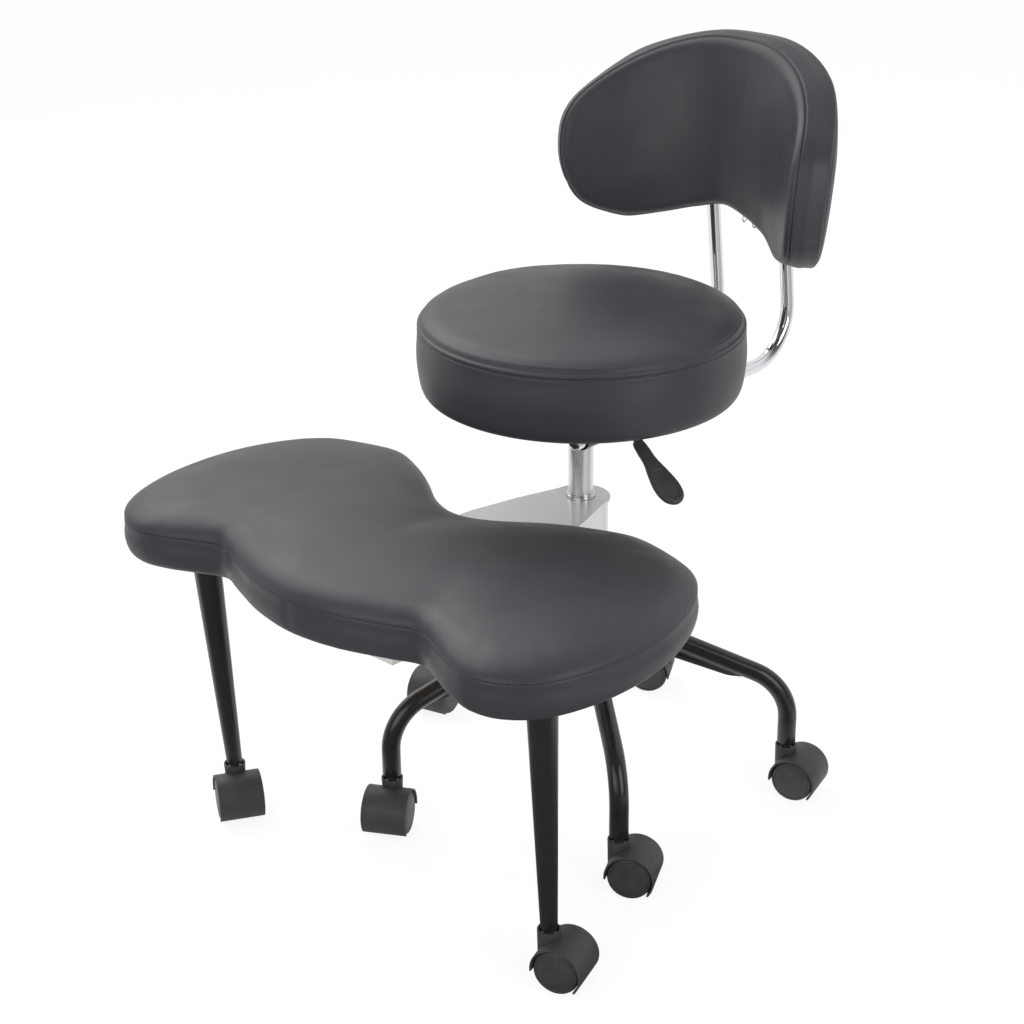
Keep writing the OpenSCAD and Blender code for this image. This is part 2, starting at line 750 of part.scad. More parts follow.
bracket_screw_x = 17;
module bracket_screws() {
    for (side = [-1, 1], dx = [-bracket_screw_x, bracket_screw_x], dz = [-bracket_screw_z, bracket_screw_z])
        at_bracket(side) translate([dx, back_plate_t + flat_gap, dz]) rotate([90, 0, 0]) children();
}

module bracket_screw_holes(grow) {
    bracket_screws() translate([0, 0, -overrun])
        cylinder(h = bracket_screw_l + 2 * overrun, r = small_screw_d / 2 + grow);
}
bracket_screw_l = back_plate_t + back_cover_t + back_board_t / 2;

module back_board() {
    color("#b99a6b") at_column() difference() {
        back_board_form();
        bracket_screw_holes(fixed_gap);
    }
}

module back_pad() {
    color("#3c3e43") at_column() difference() {
        back_skin(back_rings);
        back_board_form();
        bracket_screw_holes(flat_gap);
    }
}

back_tube_path = [
    [strap_ys[0] - strap_w, back_tube_z],
    [back_tube_corner_y, back_tube_z],
    [back_knee_y, back_tube_knee_z],
    [back_knee_y + (back_tube_top_z - back_tube_knee_z) * tan(back_lean), back_tube_top_z],
];

module back_tube(side) {
    top = back_tube_path[3];
    color("#d6d8da") at_column() {
        translate([side * back_tube_x, 0, 0]) {
            rotate([90, 0, 90]) bent_tube(back_tube_path, back_tube_bend_r, back_tube_r);
            translate([0, top.x, top.y]) rotate([-back_lean, 0, 0]) translate([0, 0, -overrun]) cylinder(
                h = overrun + back_tube_r / 4, r1 = back_tube_r - 2 * fixed_gap, r2 = back_tube_r * 3 / 4);
        }
        difference() {
            at_bracket(side) translate([0, back_plate_t + flat_gap, 0])
                rotate([90, 0, 0]) plate(bracket_w, bracket_l, back_tube_r, back_plate_t);
            bracket_screw_holes(fixed_gap);
        }
    }
}

// Footstool arm

// The arm seen from above, moved inwards by a distance: a round end at the column, and
// sides that widen to the front
module arm_shape(d) {
    circle(r = arm_end_r - d);
    polygon([
        for (side = [-1, 1], q = side < 0 ? arm_half : [for (k = [len(arm_half) - 1:-1:0]) arm_half[k]])
            [side * (q.x - d), max(q.y, d - arm_plate_l)]
    ]);
}
arm_waist_w = (arm_end_r + arm_front_half_w) / 2 - sheet_t / 3;
arm_hip_w = arm_front_half_w - sheet_t;
arm_root_inset = 1.6;
arm_half = [
    [arm_end_r - arm_root_inset, arm_end_r / 6], [arm_waist_w, -arm_plate_l / 3],
    [arm_hip_w, -arm_plate_l * 3 / 4], [arm_front_half_w, -arm_plate_l],
];
arm_foot_z = arm_top_z - arm_h;

function tray_outline(d) = [
    [d - arm_hip_w, -arm_plate_l * 3 / 4], [d - arm_tray_half_w, d - arm_tray_reach],
    [arm_tray_half_w - d, d - arm_tray_reach], [arm_hip_w - d, -arm_plate_l * 3 / 4],
];
tray_screw_shares = [0.62, 0.92];
tray_screws = [for (x = [-1, 1], y = tray_screw_shares) [x * tray_screw_x, -y * arm_tray_reach]];

module arm_frame() {
    color("#c8c5c3") at_column() difference() {
        union() {
            translate([0, 0, arm_top_z - sheet_t]) linear_extrude(sheet_t) arm_shape(0);
            translate([0, 0, arm_foot_z]) linear_extrude(arm_h - sheet_t) arm_shape(arm_edge);
            translate([0, 0, arm_foot_z]) linear_extrude(stool_base_z - arm_foot_z)
                polygon(tray_outline(arm_edge));
            translate([0, 0, arm_hub_foot_z]) cylinder(h = arm_foot_z - arm_hub_foot_z, r = arm_wall_r);
        }
        arm_inside();
        translate([0, 0, arm_hub_foot_z - overrun])
            cylinder(h = arm_top_z - sheet_t - arm_hub_foot_z + overrun, r = column_d / 2 + bush_wall);
        cylinder(h = arm_top_z + overrun, r = plate_hole_r);
        for (p = tray_screws) translate([p.x, p.y, arm_foot_z])
            cylinder(h = arm_h, r = big_screw_d / 2 + fixed_gap);
    }
}

// The hollow of the arm and its tray, open underneath, with the hub's wall left standing
module arm_inside() {
    difference() {
        union() {
            translate([0, 0, arm_foot_z - overrun]) linear_extrude(arm_h - sheet_t + overrun)
                arm_shape(arm_edge + sheet_t);
            translate([0, 0, arm_foot_z - overrun])
                linear_extrude(stool_base_z - sheet_t - arm_foot_z + overrun)
                    polygon(tray_outline(arm_edge + sheet_t));
        }
        cylinder(h = arm_top_z, r = arm_wall_r);
    }
}

module arm_bushes() {
    r_in = column_d / 2 + running_gap;
    r_out = column_d / 2 + bush_wall - fixed_gap;
    bush_l = (column_top_z - arm_hub_foot_z) / 3;
    color("#e4e2dc") at_column() {
        translate([0, 0, arm_hub_foot_z - bush_flange_t]) ring(bush_flange_r, r_in, bush_flange_t);
        translate([0, 0, arm_hub_foot_z - overrun / 2]) ring(r_out, r_in, bush_l);
        translate([0, 0, column_top_z - bush_l]) ring(r_out, r_in, bush_l - flat_gap);
    }
}

// Footstool

stool_outline = smooth(scaled(both_sides(stool_outline_shares), stool_half_w, stool_depth / 2), 2);
stool_rings = [
    [seat_edge_r, 0, 0],
    [seat_edge_r / 4, 0, seat_edge_r * 3 / 4],
    [0, 0, seat_edge_r * 2],
    [0, 0, stool_side_h - 4 * seam_lip],
    [seam_lip / 2, 0, stool_side_h - seam_lip],
    [seam_nip, 0, stool_side_h],
    [seam_nip, 0.04, stool_side_h + stool_crown * 0.30],
    [seam_nip, 0.12, stool_side_h + stool_crown * 0.58],
    [seam_nip, 0.26, stool_side_h + stool_crown * 0.80],
    [seam_nip, 0.44, stool_side_h + stool_crown * 0.93],
    [seam_nip, 0.64, stool_side_h + stool_crown * 0.99],
    [seam_nip, 0.82, stool_side_h + stool_crown],
];
stool_board_inset = 8;

// A point of the flat outline, laid out in front of the column at a height
function laid(p, z) = [for (q = p) [q.x, -stool_mid_y - q.y, stool_base_z + z]];

module stool_skin() {
    points = [for (r = stool_rings)
        each laid(drawn_in(inset(stool_outline, r[0]), stool_spine_share, r[1]), r[2])];
    polyhedron(points, skin_faces(len(stool_outline), len(stool_rings)));
}

module stool_board_shape(inset_d) {
    polygon([for (q = inset(stool_outline, inset_d)) [q.x, -stool_mid_y - q.y]]);
}

leg_screws = [for (x = [-1, 1], y = [-1, 1]) [x, y] * (leg_plate_w / 2 - leg_plate_corner_r)];

module at_stool_leg(side) {
    translate([side * (stool_leg_x + stool_leg_splay), -stool_leg_y - stool_leg_rake, 0]) children();
}

module stool_screw_holes() {
    for (p = tray_screws) translate([p.x, p.y, stool_base_z - overrun])
        cylinder(h = stool_board_t / 2 + 2 * overrun, r = big_screw_d / 2 + fixed_gap);
    for (side = [-1, 1]) at_stool_leg(side) for (p = leg_screws)
        translate([p.x, p.y, stool_base_z - overrun])
            cylinder(h = stool_board_t / 2 + 2 * overrun, r = small_screw_d / 2 + fixed_gap);
}

module stool_board() {
    color("#c7a574") at_column() difference() {
        translate([0, 0, stool_base_z]) linear_extrude(stool_board_t) stool_board_shape(stool_board_inset);
        stool_screw_holes();
    }
}

module stool_pad() {
    color("#3c3e43") at_column() difference() {
        stool_skin();
        translate([0, 0, stool_base_z - overrun]) linear_extrude(stool_board_t + overrun)
            stool_board_shape(stool_board_inset - flat_gap / 2);
    }
}

module stool_leg(side) {
    top = [side * (stool_leg_x + stool_leg_splay), -stool_leg_y - stool_leg_rake, stool_base_z - sheet_t];
    foot = [side * stool_leg_x, -stool_leg_y, leg_end_z];
    v = top - foot;
    color("#1d1e20") at_column() difference() {
        union() {
            at_stool_leg(side) translate([0, 0, stool_base_z - sheet_t])
                plate(leg_plate_w, leg_plate_w, leg_plate_corner_r, sheet_t);
            translate(foot) rotate([0, acos(v.z / norm(v)), atan2(v.y, v.x)])
                rotate([0, 0, stool_leg_weld_turn]) cylinder(
                    h = norm(v) + sheet_t / 2, r1 = stool_leg_foot_d / 2, r2 = stool_leg_top_d / 2);
        }
        for (p = leg_screws) at_stool_leg(side) translate([p.x, p.y, stool_base_z - 2 * sheet_t])
            cylinder(h = 3 * sheet_t, r = small_screw_d / 2 + fixed_gap);
        translate([foot.x, foot.y, foot.z - overrun])
            cylinder(h = stem_grip_l + overrun, r = stem_d / 2 + fixed_gap);
    }
}

module stool_screws() {
    color("#7c7e82") at_column() {
        for (p = tray_screws) translate([p.x, p.y, stool_base_z - sheet_t])
            screw(big_screw_d, sheet_t + stool_board_t / 2);
        for (side = [-1, 1]) at_stool_leg(side) for (p = leg_screws)
            translate([p.x, p.y, stool_base_z - sheet_t]) screw(small_screw_d, sheet_t + stool_board_t / 2);
    }
}

module stool_caster_stems() {
    color("#c9cacc") for (k = [5, 6]) at_caster(k) stem();
}

// Casters

// The stem's place, with the wheels trailing towards the caster's own +X
module at_caster(k) {
    leg = leg_angles[min(k, 4)];
    side = k == 5 ? -1 : 1;
    place = k < 5 ? base_reach * [cos(leg), sin(leg)] : [side * stool_leg_x, -stool_leg_y];
    at_column() translate([place.x, place.y, 0]) rotate([0, 0, caster_turns[k]]) children();
}

module along_axle(h, r, y) {
    translate([caster_trail, y, wheel_r]) rotate([90, 0, 0]) cylinder(h = h, r = r, center = true);
}

// Below a line from the hood's front lip to its rear lip the wheels are bare
module hood_opening() {
    front = [caster_trail + hood_r * cos(hood_front_angle), wheel_r + hood_r * sin(hood_front_angle)];
    rear = [caster_trail + hood_r * cos(hood_rear_angle), wheel_r + hood_r * sin(hood_rear_angle)];
    v = rear - front;
    translate([front.x, 0, front.y]) rotate([0, -atan2(v.y, v.x), 0])
        translate([-wheel_d, -hood_w, -wheel_d]) cube([3 * wheel_d, 2 * hood_w, wheel_d]);
}

module caster_hood(k) {
    color("#2a2b2e") at_caster(k) difference() {
        union() {
            difference() {
                along_axle(hood_w, hood_r, 0);
                for (side = [-1, 1])
                    along_axle(hood_w, wheel_r + wheel_gap, side * (web_half_w + hood_w / 2));
                hood_opening();
            }
            translate([0, 0, wheel_r]) cylinder(h = cup_top_z - wheel_r, r = cup_d / 2);
        }
        for (side = [-1, 1])
            along_axle(hood_w, wheel_r + wheel_gap, side * (web_half_w + hood_w / 2));
        translate([0, 0, stem_foot_z - flat_gap]) cylinder(h = cup_top_z, r = stem_d / 2 + running_gap);
        translate([0, 0, cup_floor_z]) cylinder(h = cup_top_z, r = cup_d / 2 - cup_wall);
        along_axle(hood_w, axle_d / 2 + fixed_gap, 0);
    }
}

axle_inset = 4.5;
axle_half_l = hood_w / 2 - axle_inset;
module caster_axle(k) {
    color("#a9abae") at_caster(k) along_axle(2 * axle_half_l, axle_d / 2, 0);
}

// Profile of a wheel from its axis, x outwards and y from its inner to its outer face
wheel_edge = 1.5;
wheel_bore_r = axle_d / 2 + running_gap;
wheel_bore_l = axle_half_l - web_half_w;
module wheel(k, side) {
    color("#202124") at_caster(k) translate([caster_trail, side * (web_half_w + flat_gap), wheel_r])
        rotate([-side * 90, 0, 0]) rotate_extrude() polygon([
            [wheel_bore_r, 0], [wheel_r - wheel_edge, 0],
            [wheel_r, wheel_edge], [wheel_r, wheel_w - 2 * wheel_edge],
            [wheel_r - wheel_edge / 2, wheel_w - wheel_edge / 2], [wheel_r - wheel_edge * 2, wheel_w],
            [0, wheel_w + wheel_edge / 2], [0, wheel_bore_l], [wheel_bore_r, wheel_bore_l],
        ]);
}

base_hub();
leg(0);  // leg_1
leg(1);  // leg_2
leg(2);  // leg_3
leg(3);  // leg_4
leg(4);  // leg_5
column_tube();
guide_bush();
base_caster_stems();
piston_rod();
thrust_bearing();
gas_cylinder();
seat_mount();
seat_board();
seat_cushion();
tube_clamps();
seat_screws();
back_tube(1);  // back_tube_left
back_tube(-1);  // back_tube_right
back_board();
back_pad();
release_pin();
lever_rod();
lever_paddle();
arm_frame();
arm_bushes();
stool_board();
stool_pad();
stool_leg(1);  // stool_leg_left
stool_leg(-1);  // stool_leg_right
stool_screws();
stool_caster_stems();
caster_hood(0);  // caster_1_hood
caster_axle(0);  // caster_1_axle
wheel(0, 1);  // caster_1_wheel_left
wheel(0, -1);  // caster_1_wheel_right
caster_hood(1);  // caster_2_hood
caster_axle(1);  // caster_2_axle
wheel(1, 1);  // caster_2_wheel_left
wheel(1, -1);  // caster_2_wheel_right
caster_hood(2);  // caster_3_hood
caster_axle(2);  // caster_3_axle
wheel(2, 1);  // caster_3_wheel_left
wheel(2, -1);  // caster_3_wheel_right
caster_hood(3);  // caster_4_hood
caster_axle(3);  // caster_4_axle
wheel(3, 1);  // caster_4_wheel_left
wheel(3, -1);  // caster_4_wheel_right
caster_hood(4);  // caster_5_hood
caster_axle(4);  // caster_5_axle
wheel(4, 1);  // caster_5_wheel_left
wheel(4, -1);  // caster_5_wheel_right
caster_hood(5);  // caster_6_hood
caster_axle(5);  // caster_6_axle
wheel(5, 1);  // caster_6_wheel_left
wheel(5, -1);  // caster_6_wheel_right
caster_hood(6);  // caster_7_hood
caster_axle(6);  // caster_7_axle
wheel(6, 1);  // caster_7_wheel_left
wheel(6, -1);  // caster_7_wheel_right
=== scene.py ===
# %% [markdown]
# # A cross-legged office chair
#
# The chair has a round padded seat on a gas lift, a padded back that wraps round the sitter,
# and a butterfly-shaped footstool on an arm that swings round the column. The construction
# comes ready made as a CAD frame. This script gives every piece its look: sewn covers that
# are blown up by a cloth simulation, chrome, powder coat, gloss paint and moulded plastic.

# %% Load the frame and find the column
import json
import math

import bmesh
import bpy
import numpy as np
from mathutils import Matrix, Vector


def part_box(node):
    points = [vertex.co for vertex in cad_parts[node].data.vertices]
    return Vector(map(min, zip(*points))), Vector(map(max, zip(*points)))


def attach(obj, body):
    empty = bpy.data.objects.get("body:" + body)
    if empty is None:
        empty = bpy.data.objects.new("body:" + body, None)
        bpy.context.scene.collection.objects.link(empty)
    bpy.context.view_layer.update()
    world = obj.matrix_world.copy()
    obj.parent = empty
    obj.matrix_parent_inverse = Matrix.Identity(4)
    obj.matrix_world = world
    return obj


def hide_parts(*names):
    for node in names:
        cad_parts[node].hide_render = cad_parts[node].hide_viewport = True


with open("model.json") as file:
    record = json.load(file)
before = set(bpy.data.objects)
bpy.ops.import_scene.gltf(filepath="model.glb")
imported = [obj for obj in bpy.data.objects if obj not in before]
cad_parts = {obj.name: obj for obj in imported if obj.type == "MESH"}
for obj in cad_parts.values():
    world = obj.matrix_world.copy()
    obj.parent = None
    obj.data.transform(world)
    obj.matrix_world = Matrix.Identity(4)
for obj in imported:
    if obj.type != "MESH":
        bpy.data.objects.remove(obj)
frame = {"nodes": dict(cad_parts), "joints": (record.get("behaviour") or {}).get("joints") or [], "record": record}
nodes = frame["nodes"]
scene = bpy.context.scene
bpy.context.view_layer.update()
MM = 0.001

gas_low, gas_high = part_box("gas_cylinder")
column = np.array([(gas_low.x + gas_high.x) / 2, (gas_low.y + gas_high.y) / 2, 0.0])
print("the column stands at", column.round(4), "and the frame has", len(nodes), "nodes")


def from_column(points):
    """Places in the frame, in metres, of points in millimetres measured from the column's foot."""
    return np.asarray(points, float) * MM + column


# %% [markdown]
# ## The camera
#
# The photograph looks down on the chair's left front corner. Its camera was found from the
# seat's ellipse, the upright tubes and the casters' contacts with the floor. A camera needs a
# place, a direction and an upright, and a lens that fits the frame: a long one, because the
# verticals hardly lean together.

# %% Set up the camera
camera_place = Vector(from_column((1462.95, -1671.73, 1333.86)))
view_direction = Vector((-0.6250, 0.6655, -0.4080)).normalized()
camera_up = Vector((-0.2709, 0.3052, 0.9129))
sensor_width = 36.0
focal_share = 2.0936

camera_right = view_direction.cross(camera_up).normalized()
camera_top = camera_right.cross(view_direction)
camera = bpy.data.objects.new("camera", bpy.data.cameras.new("camera"))
camera.data.sensor_width = sensor_width
camera.data.lens = sensor_width * focal_share
camera.matrix_world = Matrix((camera_right, camera_top, -view_direction)).transposed().to_4x4()
camera.matrix_world.translation = camera_place
scene.collection.objects.link(camera)
scene.camera = camera
print("the lens is", round(camera.data.lens, 1), "mm")

# %% [markdown]
# ## Finishes
#
# A finish is a Principled shader whose colour, roughness and bump come from noise in the
# piece's own coordinates, so it needs no pictures and doesn't slide when a part moves. A few
# small helpers keep each recipe short: one adds noise, one mixes two tones, one spreads a
# noise over a range of roughness and one turns a height into bump.


# %% Helpers that make a finish and its noises
def finish(name, color, roughness, constants=()):
    """A material with a Principled shader. Constants are set on the shader's own sockets."""
    material = bpy.data.materials.new(name)
    material.use_nodes = True
    shader = material.node_tree.nodes["Principled BSDF"]
    shader.inputs["Base Color"].default_value = (*color, 1.0)
    shader.inputs["Roughness"].default_value = roughness
    for socket, value in dict(constants).items():
        shader.inputs[socket].default_value = value
    material.diffuse_color = (*color, 1.0)
    return material


def shader_of(material):
    """The Principled shader of a finish."""
    return material.node_tree.nodes["Principled BSDF"]


def place_in(material, stretch=(1.0, 1.0, 1.0)):
    """The piece's own coordinates, stretched along its axes."""
    tree = material.node_tree
    coordinates = tree.nodes.new("ShaderNodeTexCoord")
    mapping = tree.nodes.new("ShaderNodeMapping")
    mapping.inputs["Scale"].default_value = stretch
    tree.links.new(coordinates.outputs["Object"], mapping.inputs["Vector"])
    return mapping.outputs["Vector"]


def noise_in(material, scale, detail=2.0, roughness=0.5, stretch=(1.0, 1.0, 1.0)):
    """Soft noise, with so many lumps to a metre."""
    tree = material.node_tree
    noise = tree.nodes.new("ShaderNodeTexNoise")
    noise.inputs["Scale"].default_value = scale
    noise.inputs["Detail"].default_value = detail
    noise.inputs["Roughness"].default_value = roughness
    tree.links.new(place_in(material, stretch), noise.inputs["Vector"])
    return noise.outputs["Fac"]


def cells_in(material, scale):
    """The distance to the middle of rounded cells, with so many cells to a metre."""
    tree = material.node_tree
    cells = tree.nodes.new("ShaderNodeTexVoronoi")
    cells.feature = "SMOOTH_F1"
    cells.inputs["Scale"].default_value = scale
    tree.links.new(place_in(material), cells.inputs["Vector"])
    return cells.outputs["Distance"]


# %% Helpers that put a noise to use
def ranged(tree, source, start, end, low, high, way="LINEAR"):
    """A change from the low value at the start to the high value at the end."""
    ranger = tree.nodes.new("ShaderNodeMapRange")
    ranger.interpolation_type = way
    for socket, value in (("From Min", start), ("From Max", end), ("To Min", low), ("To Max", high)):
        ranger.inputs[socket].default_value = value
    tree.links.new(source, ranger.inputs["Value"])
    return ranger.outputs["Result"]


def spread(material, source, low, high):
    """A noise, whose values lie mostly from 0.3 to 0.7, spread over a range."""
    return ranged(material.node_tree, source, 0.3, 0.7, low, high)


def two_tones(material, source, dark, light):
    """Colours the material between two tones by a noise."""
    tree = material.node_tree
    mix = tree.nodes.new("ShaderNodeMix")
    mix.data_type = "RGBA"
    mix.inputs[6].default_value = (*dark, 1.0)
    mix.inputs[7].default_value = (*light, 1.0)
    tree.links.new(spread(material, source, 0.0, 1.0), mix.inputs[0])
    tree.links.new(mix.outputs[2], shader_of(material).inputs["Base Color"])


def uneven_gloss(material, source, low, high):
    """Lets the roughness wander between two values."""
    material.node_tree.links.new(
        spread(material, source, low, high), shader_of(material).inputs["Roughness"])


def add_bump(material, source, height, strength=1.0):
    """Adds a relief of some height, in metres, over any bump that is there already."""
    tree = material.node_tree
    bump = tree.nodes.new("ShaderNodeBump")
    bump.inputs["Distance"].default_value = height
    bump.inputs["Strength"].default_value = strength
    tree.links.new(source, bump.inputs["Height"])
    normal = shader_of(material).inputs["Normal"]
    if normal.is_linked:
        tree.links.new(normal.links[0].from_socket, bump.inputs["Normal"])
    tree.links.new(bump.outputs["Normal"], normal)


# %% [markdown]
# ## Leatherette and thread
#
# The covers are a smooth coated cloth, dark slate with a broad soft sheen. Up close it has a
# fine pebble grain: small rounded cells with a softer noise over them. A photograph of real
# cloth would repeat and stretch over the folds, so the grain is made from noise. The sheen
# comes from a middling roughness that wanders a little, as rubbed leatherette does. The
# thread is lighter and much rougher.

# %% Make the leatherette and the thread
leatherette = finish("leatherette", (0.034, 0.036, 0.041), 0.44, {"Specular IOR Level": 0.42})
two_tones(leatherette, noise_in(leatherette, 9.0, 3.0), (0.031, 0.033, 0.038), (0.039, 0.041, 0.047))
uneven_gloss(leatherette, noise_in(leatherette, 22.0, 4.0), 0.41, 0.49)
add_bump(leatherette, cells_in(leatherette, 900.0), 0.00009, 0.55)
add_bump(leatherette, noise_in(leatherette, 260.0, 3.0), 0.00012, 0.4)

thread = finish("thread", (0.085, 0.086, 0.093), 0.7, {"Sheen Weight": 0.25})
two_tones(thread, noise_in(thread, 900.0), (0.065, 0.066, 0.072), (0.105, 0.107, 0.115))
add_bump(thread, noise_in(thread, 4000.0, 1.0), 0.00005, 0.6)
print("leatherette and thread are ready")

# %% [markdown]
# ## Metal
#
# Chrome is a mirror, so it shows its surroundings more than itself. A trace of haze keeps it
# from looking like a computer's mirror ball. The gas cylinder is ground along its length, so
# its chrome is satin and streaked. The screws, stems and axles are zinc plated, and duller.

# %% Make the two chromes and the zinc plate
chrome = finish("chrome", (0.80, 0.81, 0.83), 0.07, {"Metallic": 1.0})
uneven_gloss(chrome, noise_in(chrome, 60.0, 3.0), 0.05, 0.10)
add_bump(chrome, noise_in(chrome, 90.0, 1.0), 0.00004, 0.15)

satin_chrome = finish("satin_chrome", (0.80, 0.80, 0.82), 0.3, {"Metallic": 0.8})
streaks = noise_in(satin_chrome, 420.0, 2.0, stretch=(1.0, 1.0, 0.02))
uneven_gloss(satin_chrome, streaks, 0.25, 0.38)
add_bump(satin_chrome, streaks, 0.00002, 0.3)

zinc = finish("zinc_plate", (0.55, 0.56, 0.58), 0.36, {"Metallic": 1.0})
two_tones(zinc, noise_in(zinc, 300.0, 3.0), (0.47, 0.48, 0.50), (0.62, 0.63, 0.65))
uneven_gloss(zinc, noise_in(zinc, 900.0, 2.0), 0.28, 0.46)
add_bump(zinc, noise_in(zinc, 700.0, 2.0, stretch=(0.2, 0.2, 3.0)), 0.00005, 0.4)
print("chrome, satin chrome and zinc plate are ready")

# %% [markdown]
# ## Paint
#
# The base and the footstool's legs are powder coated in satin black, which has the faint
# orange-peel swell of melted powder. The arm is sprayed in warm grey under a clear coat,
# smooth enough to mirror the chrome cylinder that stands in it.

# %% Make the paints
powder_coat = finish("black_powder_coat", (0.008, 0.0083, 0.009), 0.24, {"Specular IOR Level": 0.6})
two_tones(powder_coat, noise_in(powder_coat, 14.0, 3.0), (0.007, 0.0073, 0.008), (0.011, 0.0113, 0.012))
uneven_gloss(powder_coat, noise_in(powder_coat, 45.0, 3.0), 0.20, 0.29)
add_bump(powder_coat, noise_in(powder_coat, 420.0, 2.0), 0.00005, 0.15)

gloss = {"Coat Weight": 0.6, "Coat Roughness": 0.05}
grey_paint = finish("warm_grey_paint", (0.70, 0.69, 0.68), 0.22, gloss)
two_tones(grey_paint, noise_in(grey_paint, 10.0, 3.0), (0.685, 0.675, 0.665), (0.715, 0.705, 0.695))
uneven_gloss(grey_paint, noise_in(grey_paint, 30.0, 3.0), 0.19, 0.27)
add_bump(grey_paint, noise_in(grey_paint, 160.0, 2.0), 0.00008, 0.25)
print("both paints are ready")

# %% [markdown]
# ## Plastic and plywood
#
# The caster hoods and the paddle are moulded in charcoal plastic with a very fine spark
# texture. The wheels are a harder nylon, and a little glossier. The bushes are pale nylon.
# The boards inside the pads are birch plywood, whose grain is a noise stretched along X.

# %% Make the plastics and the plywood
moulded = finish("charcoal_plastic", (0.040, 0.041, 0.044), 0.5, {"Specular IOR Level": 0.4})
two_tones(moulded, noise_in(moulded, 30.0, 3.0), (0.036, 0.037, 0.040), (0.047, 0.048, 0.052))
uneven_gloss(moulded, noise_in(moulded, 120.0, 3.0), 0.44, 0.56)
add_bump(moulded, noise_in(moulded, 1600.0, 2.0), 0.00005, 0.5)

wheel_nylon = finish("wheel_nylon", (0.036, 0.037, 0.040), 0.42, {"Specular IOR Level": 0.45})
two_tones(wheel_nylon, noise_in(wheel_nylon, 60.0, 3.0), (0.031, 0.032, 0.035), (0.046, 0.047, 0.050))
uneven_gloss(wheel_nylon, noise_in(wheel_nylon, 90.0, 3.0), 0.36, 0.50)
add_bump(wheel_nylon, noise_in(wheel_nylon, 900.0, 2.0), 0.00005, 0.4)

pale_nylon = finish("pale_nylon", (0.72, 0.70, 0.65), 0.4, {"Subsurface Weight": 0.05})
two_tones(pale_nylon, noise_in(pale_nylon, 40.0), (0.69, 0.67, 0.62), (0.75, 0.73, 0.68))
add_bump(pale_nylon, noise_in(pale_nylon, 800.0), 0.00004, 0.3)

plywood = finish("birch_plywood", (0.55, 0.40, 0.24), 0.6)
grain = noise_in(plywood, 30.0, 5.0, 0.6, (0.12, 1.0, 1.0))
two_tones(plywood, grain, (0.44, 0.30, 0.17), (0.62, 0.47, 0.29))
add_bump(plywood, noise_in(plywood, 260.0, 3.0, 0.6, (0.1, 1.0, 1.0)), 0.0001, 0.5)
print("plastics and plywood are ready")

# %% Match the finishes with the frame's slots
finishes = {
    "black_leatherette": leatherette, "chrome": chrome, "zinc_steel": zinc,
    "black_paint": powder_coat, "grey_paint": grey_paint, "black_plastic": moulded,
    "wheel_nylon": wheel_nylon, "pale_nylon": pale_nylon, "plywood": plywood,
}
slot_of = {row["node"]: row["material_slot"] for row in frame["record"]["subparts"]}
bodies = frame["record"]["behaviour"]["bodies"]
body_of_node = {node: body for body, members in bodies.items() for node in members}

# %% [markdown]
# ## Pieces and how they join the frame
#
# Every new piece is a mesh that is built from points in millimetres, measured from the
# column's foot. It then takes a finish, rides on one of the frame's bodies, and stands for
# the CAD nodes that it replaces.


# %% Helpers that make a piece and join it to the frame
def new_piece(name, points, faces, material, sharp_angle=None):
    """A mesh from points in millimetres about the column. A rigid one has a sharp angle."""
    mesh = bpy.data.meshes.new(name)
    mesh.from_pydata([tuple(p) for p in from_column(points)], [], [tuple(f) for f in faces])
    work = bmesh.new()
    work.from_mesh(mesh)
    if sharp_angle:
        bmesh.ops.remove_doubles(work, verts=work.verts, dist=0.00001)
    bmesh.ops.recalc_face_normals(work, faces=work.faces)
    work.to_mesh(mesh)
    work.free()
    mesh.shade_smooth()
    if sharp_angle:
        mesh.set_sharp_from_angle(angle=math.radians(sharp_angle))
    piece = bpy.data.objects.new(name, mesh)
    mesh.materials.append(material)
    scene.collection.objects.link(piece)
    return piece


def join_frame(piece, node, replaced=()):
    """The piece takes a CAD node's body, and stands for the nodes that it replaces."""
    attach(piece, body_of_node[node])
    if replaced:
        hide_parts(*replaced)
    return piece


def apply_modifiers(piece):
    """Writes what the modifiers make into the piece's own mesh."""
    bpy.context.view_layer.update()
    graph = bpy.context.evaluated_depsgraph_get()
    mesh = bpy.data.meshes.new_from_object(piece.evaluated_get(graph))
    piece.modifiers.clear()
    piece.data = mesh


def unit(vectors):
    """Vectors in the same directions, with a length of one."""
    return vectors / np.linalg.norm(vectors, axis=-1, keepdims=True)


def whole_turn(count):
    """So many angles, spread evenly over a whole turn."""
    return np.arange(count) / count * 2 * math.pi


def grid_faces(rows, around):
    """Quads between rows of points that go round and close."""
    return [
        (k * around + i, k * around + (i + 1) % around,
         (k + 1) * around + (i + 1) % around, (k + 1) * around + i)
        for k in range(rows - 1) for i in range(around)]


# %% [markdown]
# ## How a padded cover is built
#
# A pad like these is foam on a plywood board under a sewn cover: a top panel, a side panel
# and the seam between them. A block with rounded edges would miss the way the panels swell
# and the seam pulls in. So each cover is a grid of quads in rows. The rows follow the pad's
# outline, from the hem stapled under the board, up the side, over the seam, and then inwards
# to a spine that runs across the pad. Every row that is sewn or stapled is pinned, and a
# cloth simulation with pressure inside blows up the rest. The simulation finds more creases
# than a cover that is stapled tight, so its moves are evened out, and a small share of the
# creases is kept.

# %% Settings of the filling
cloth_settings = {
    "quality": 7, "mass": 0.35, "tension_stiffness": 22, "compression_stiffness": 12,
    "shear_stiffness": 6, "bending_stiffness": 2.5, "tension_damping": 8,
    "vertex_group_mass": "sewn", "use_pressure": True, "uniform_pressure_force": 4.0,
}
cloth_frames = 20
calming_rounds = 60
crease_share = 0.12
join_depth = 1.3


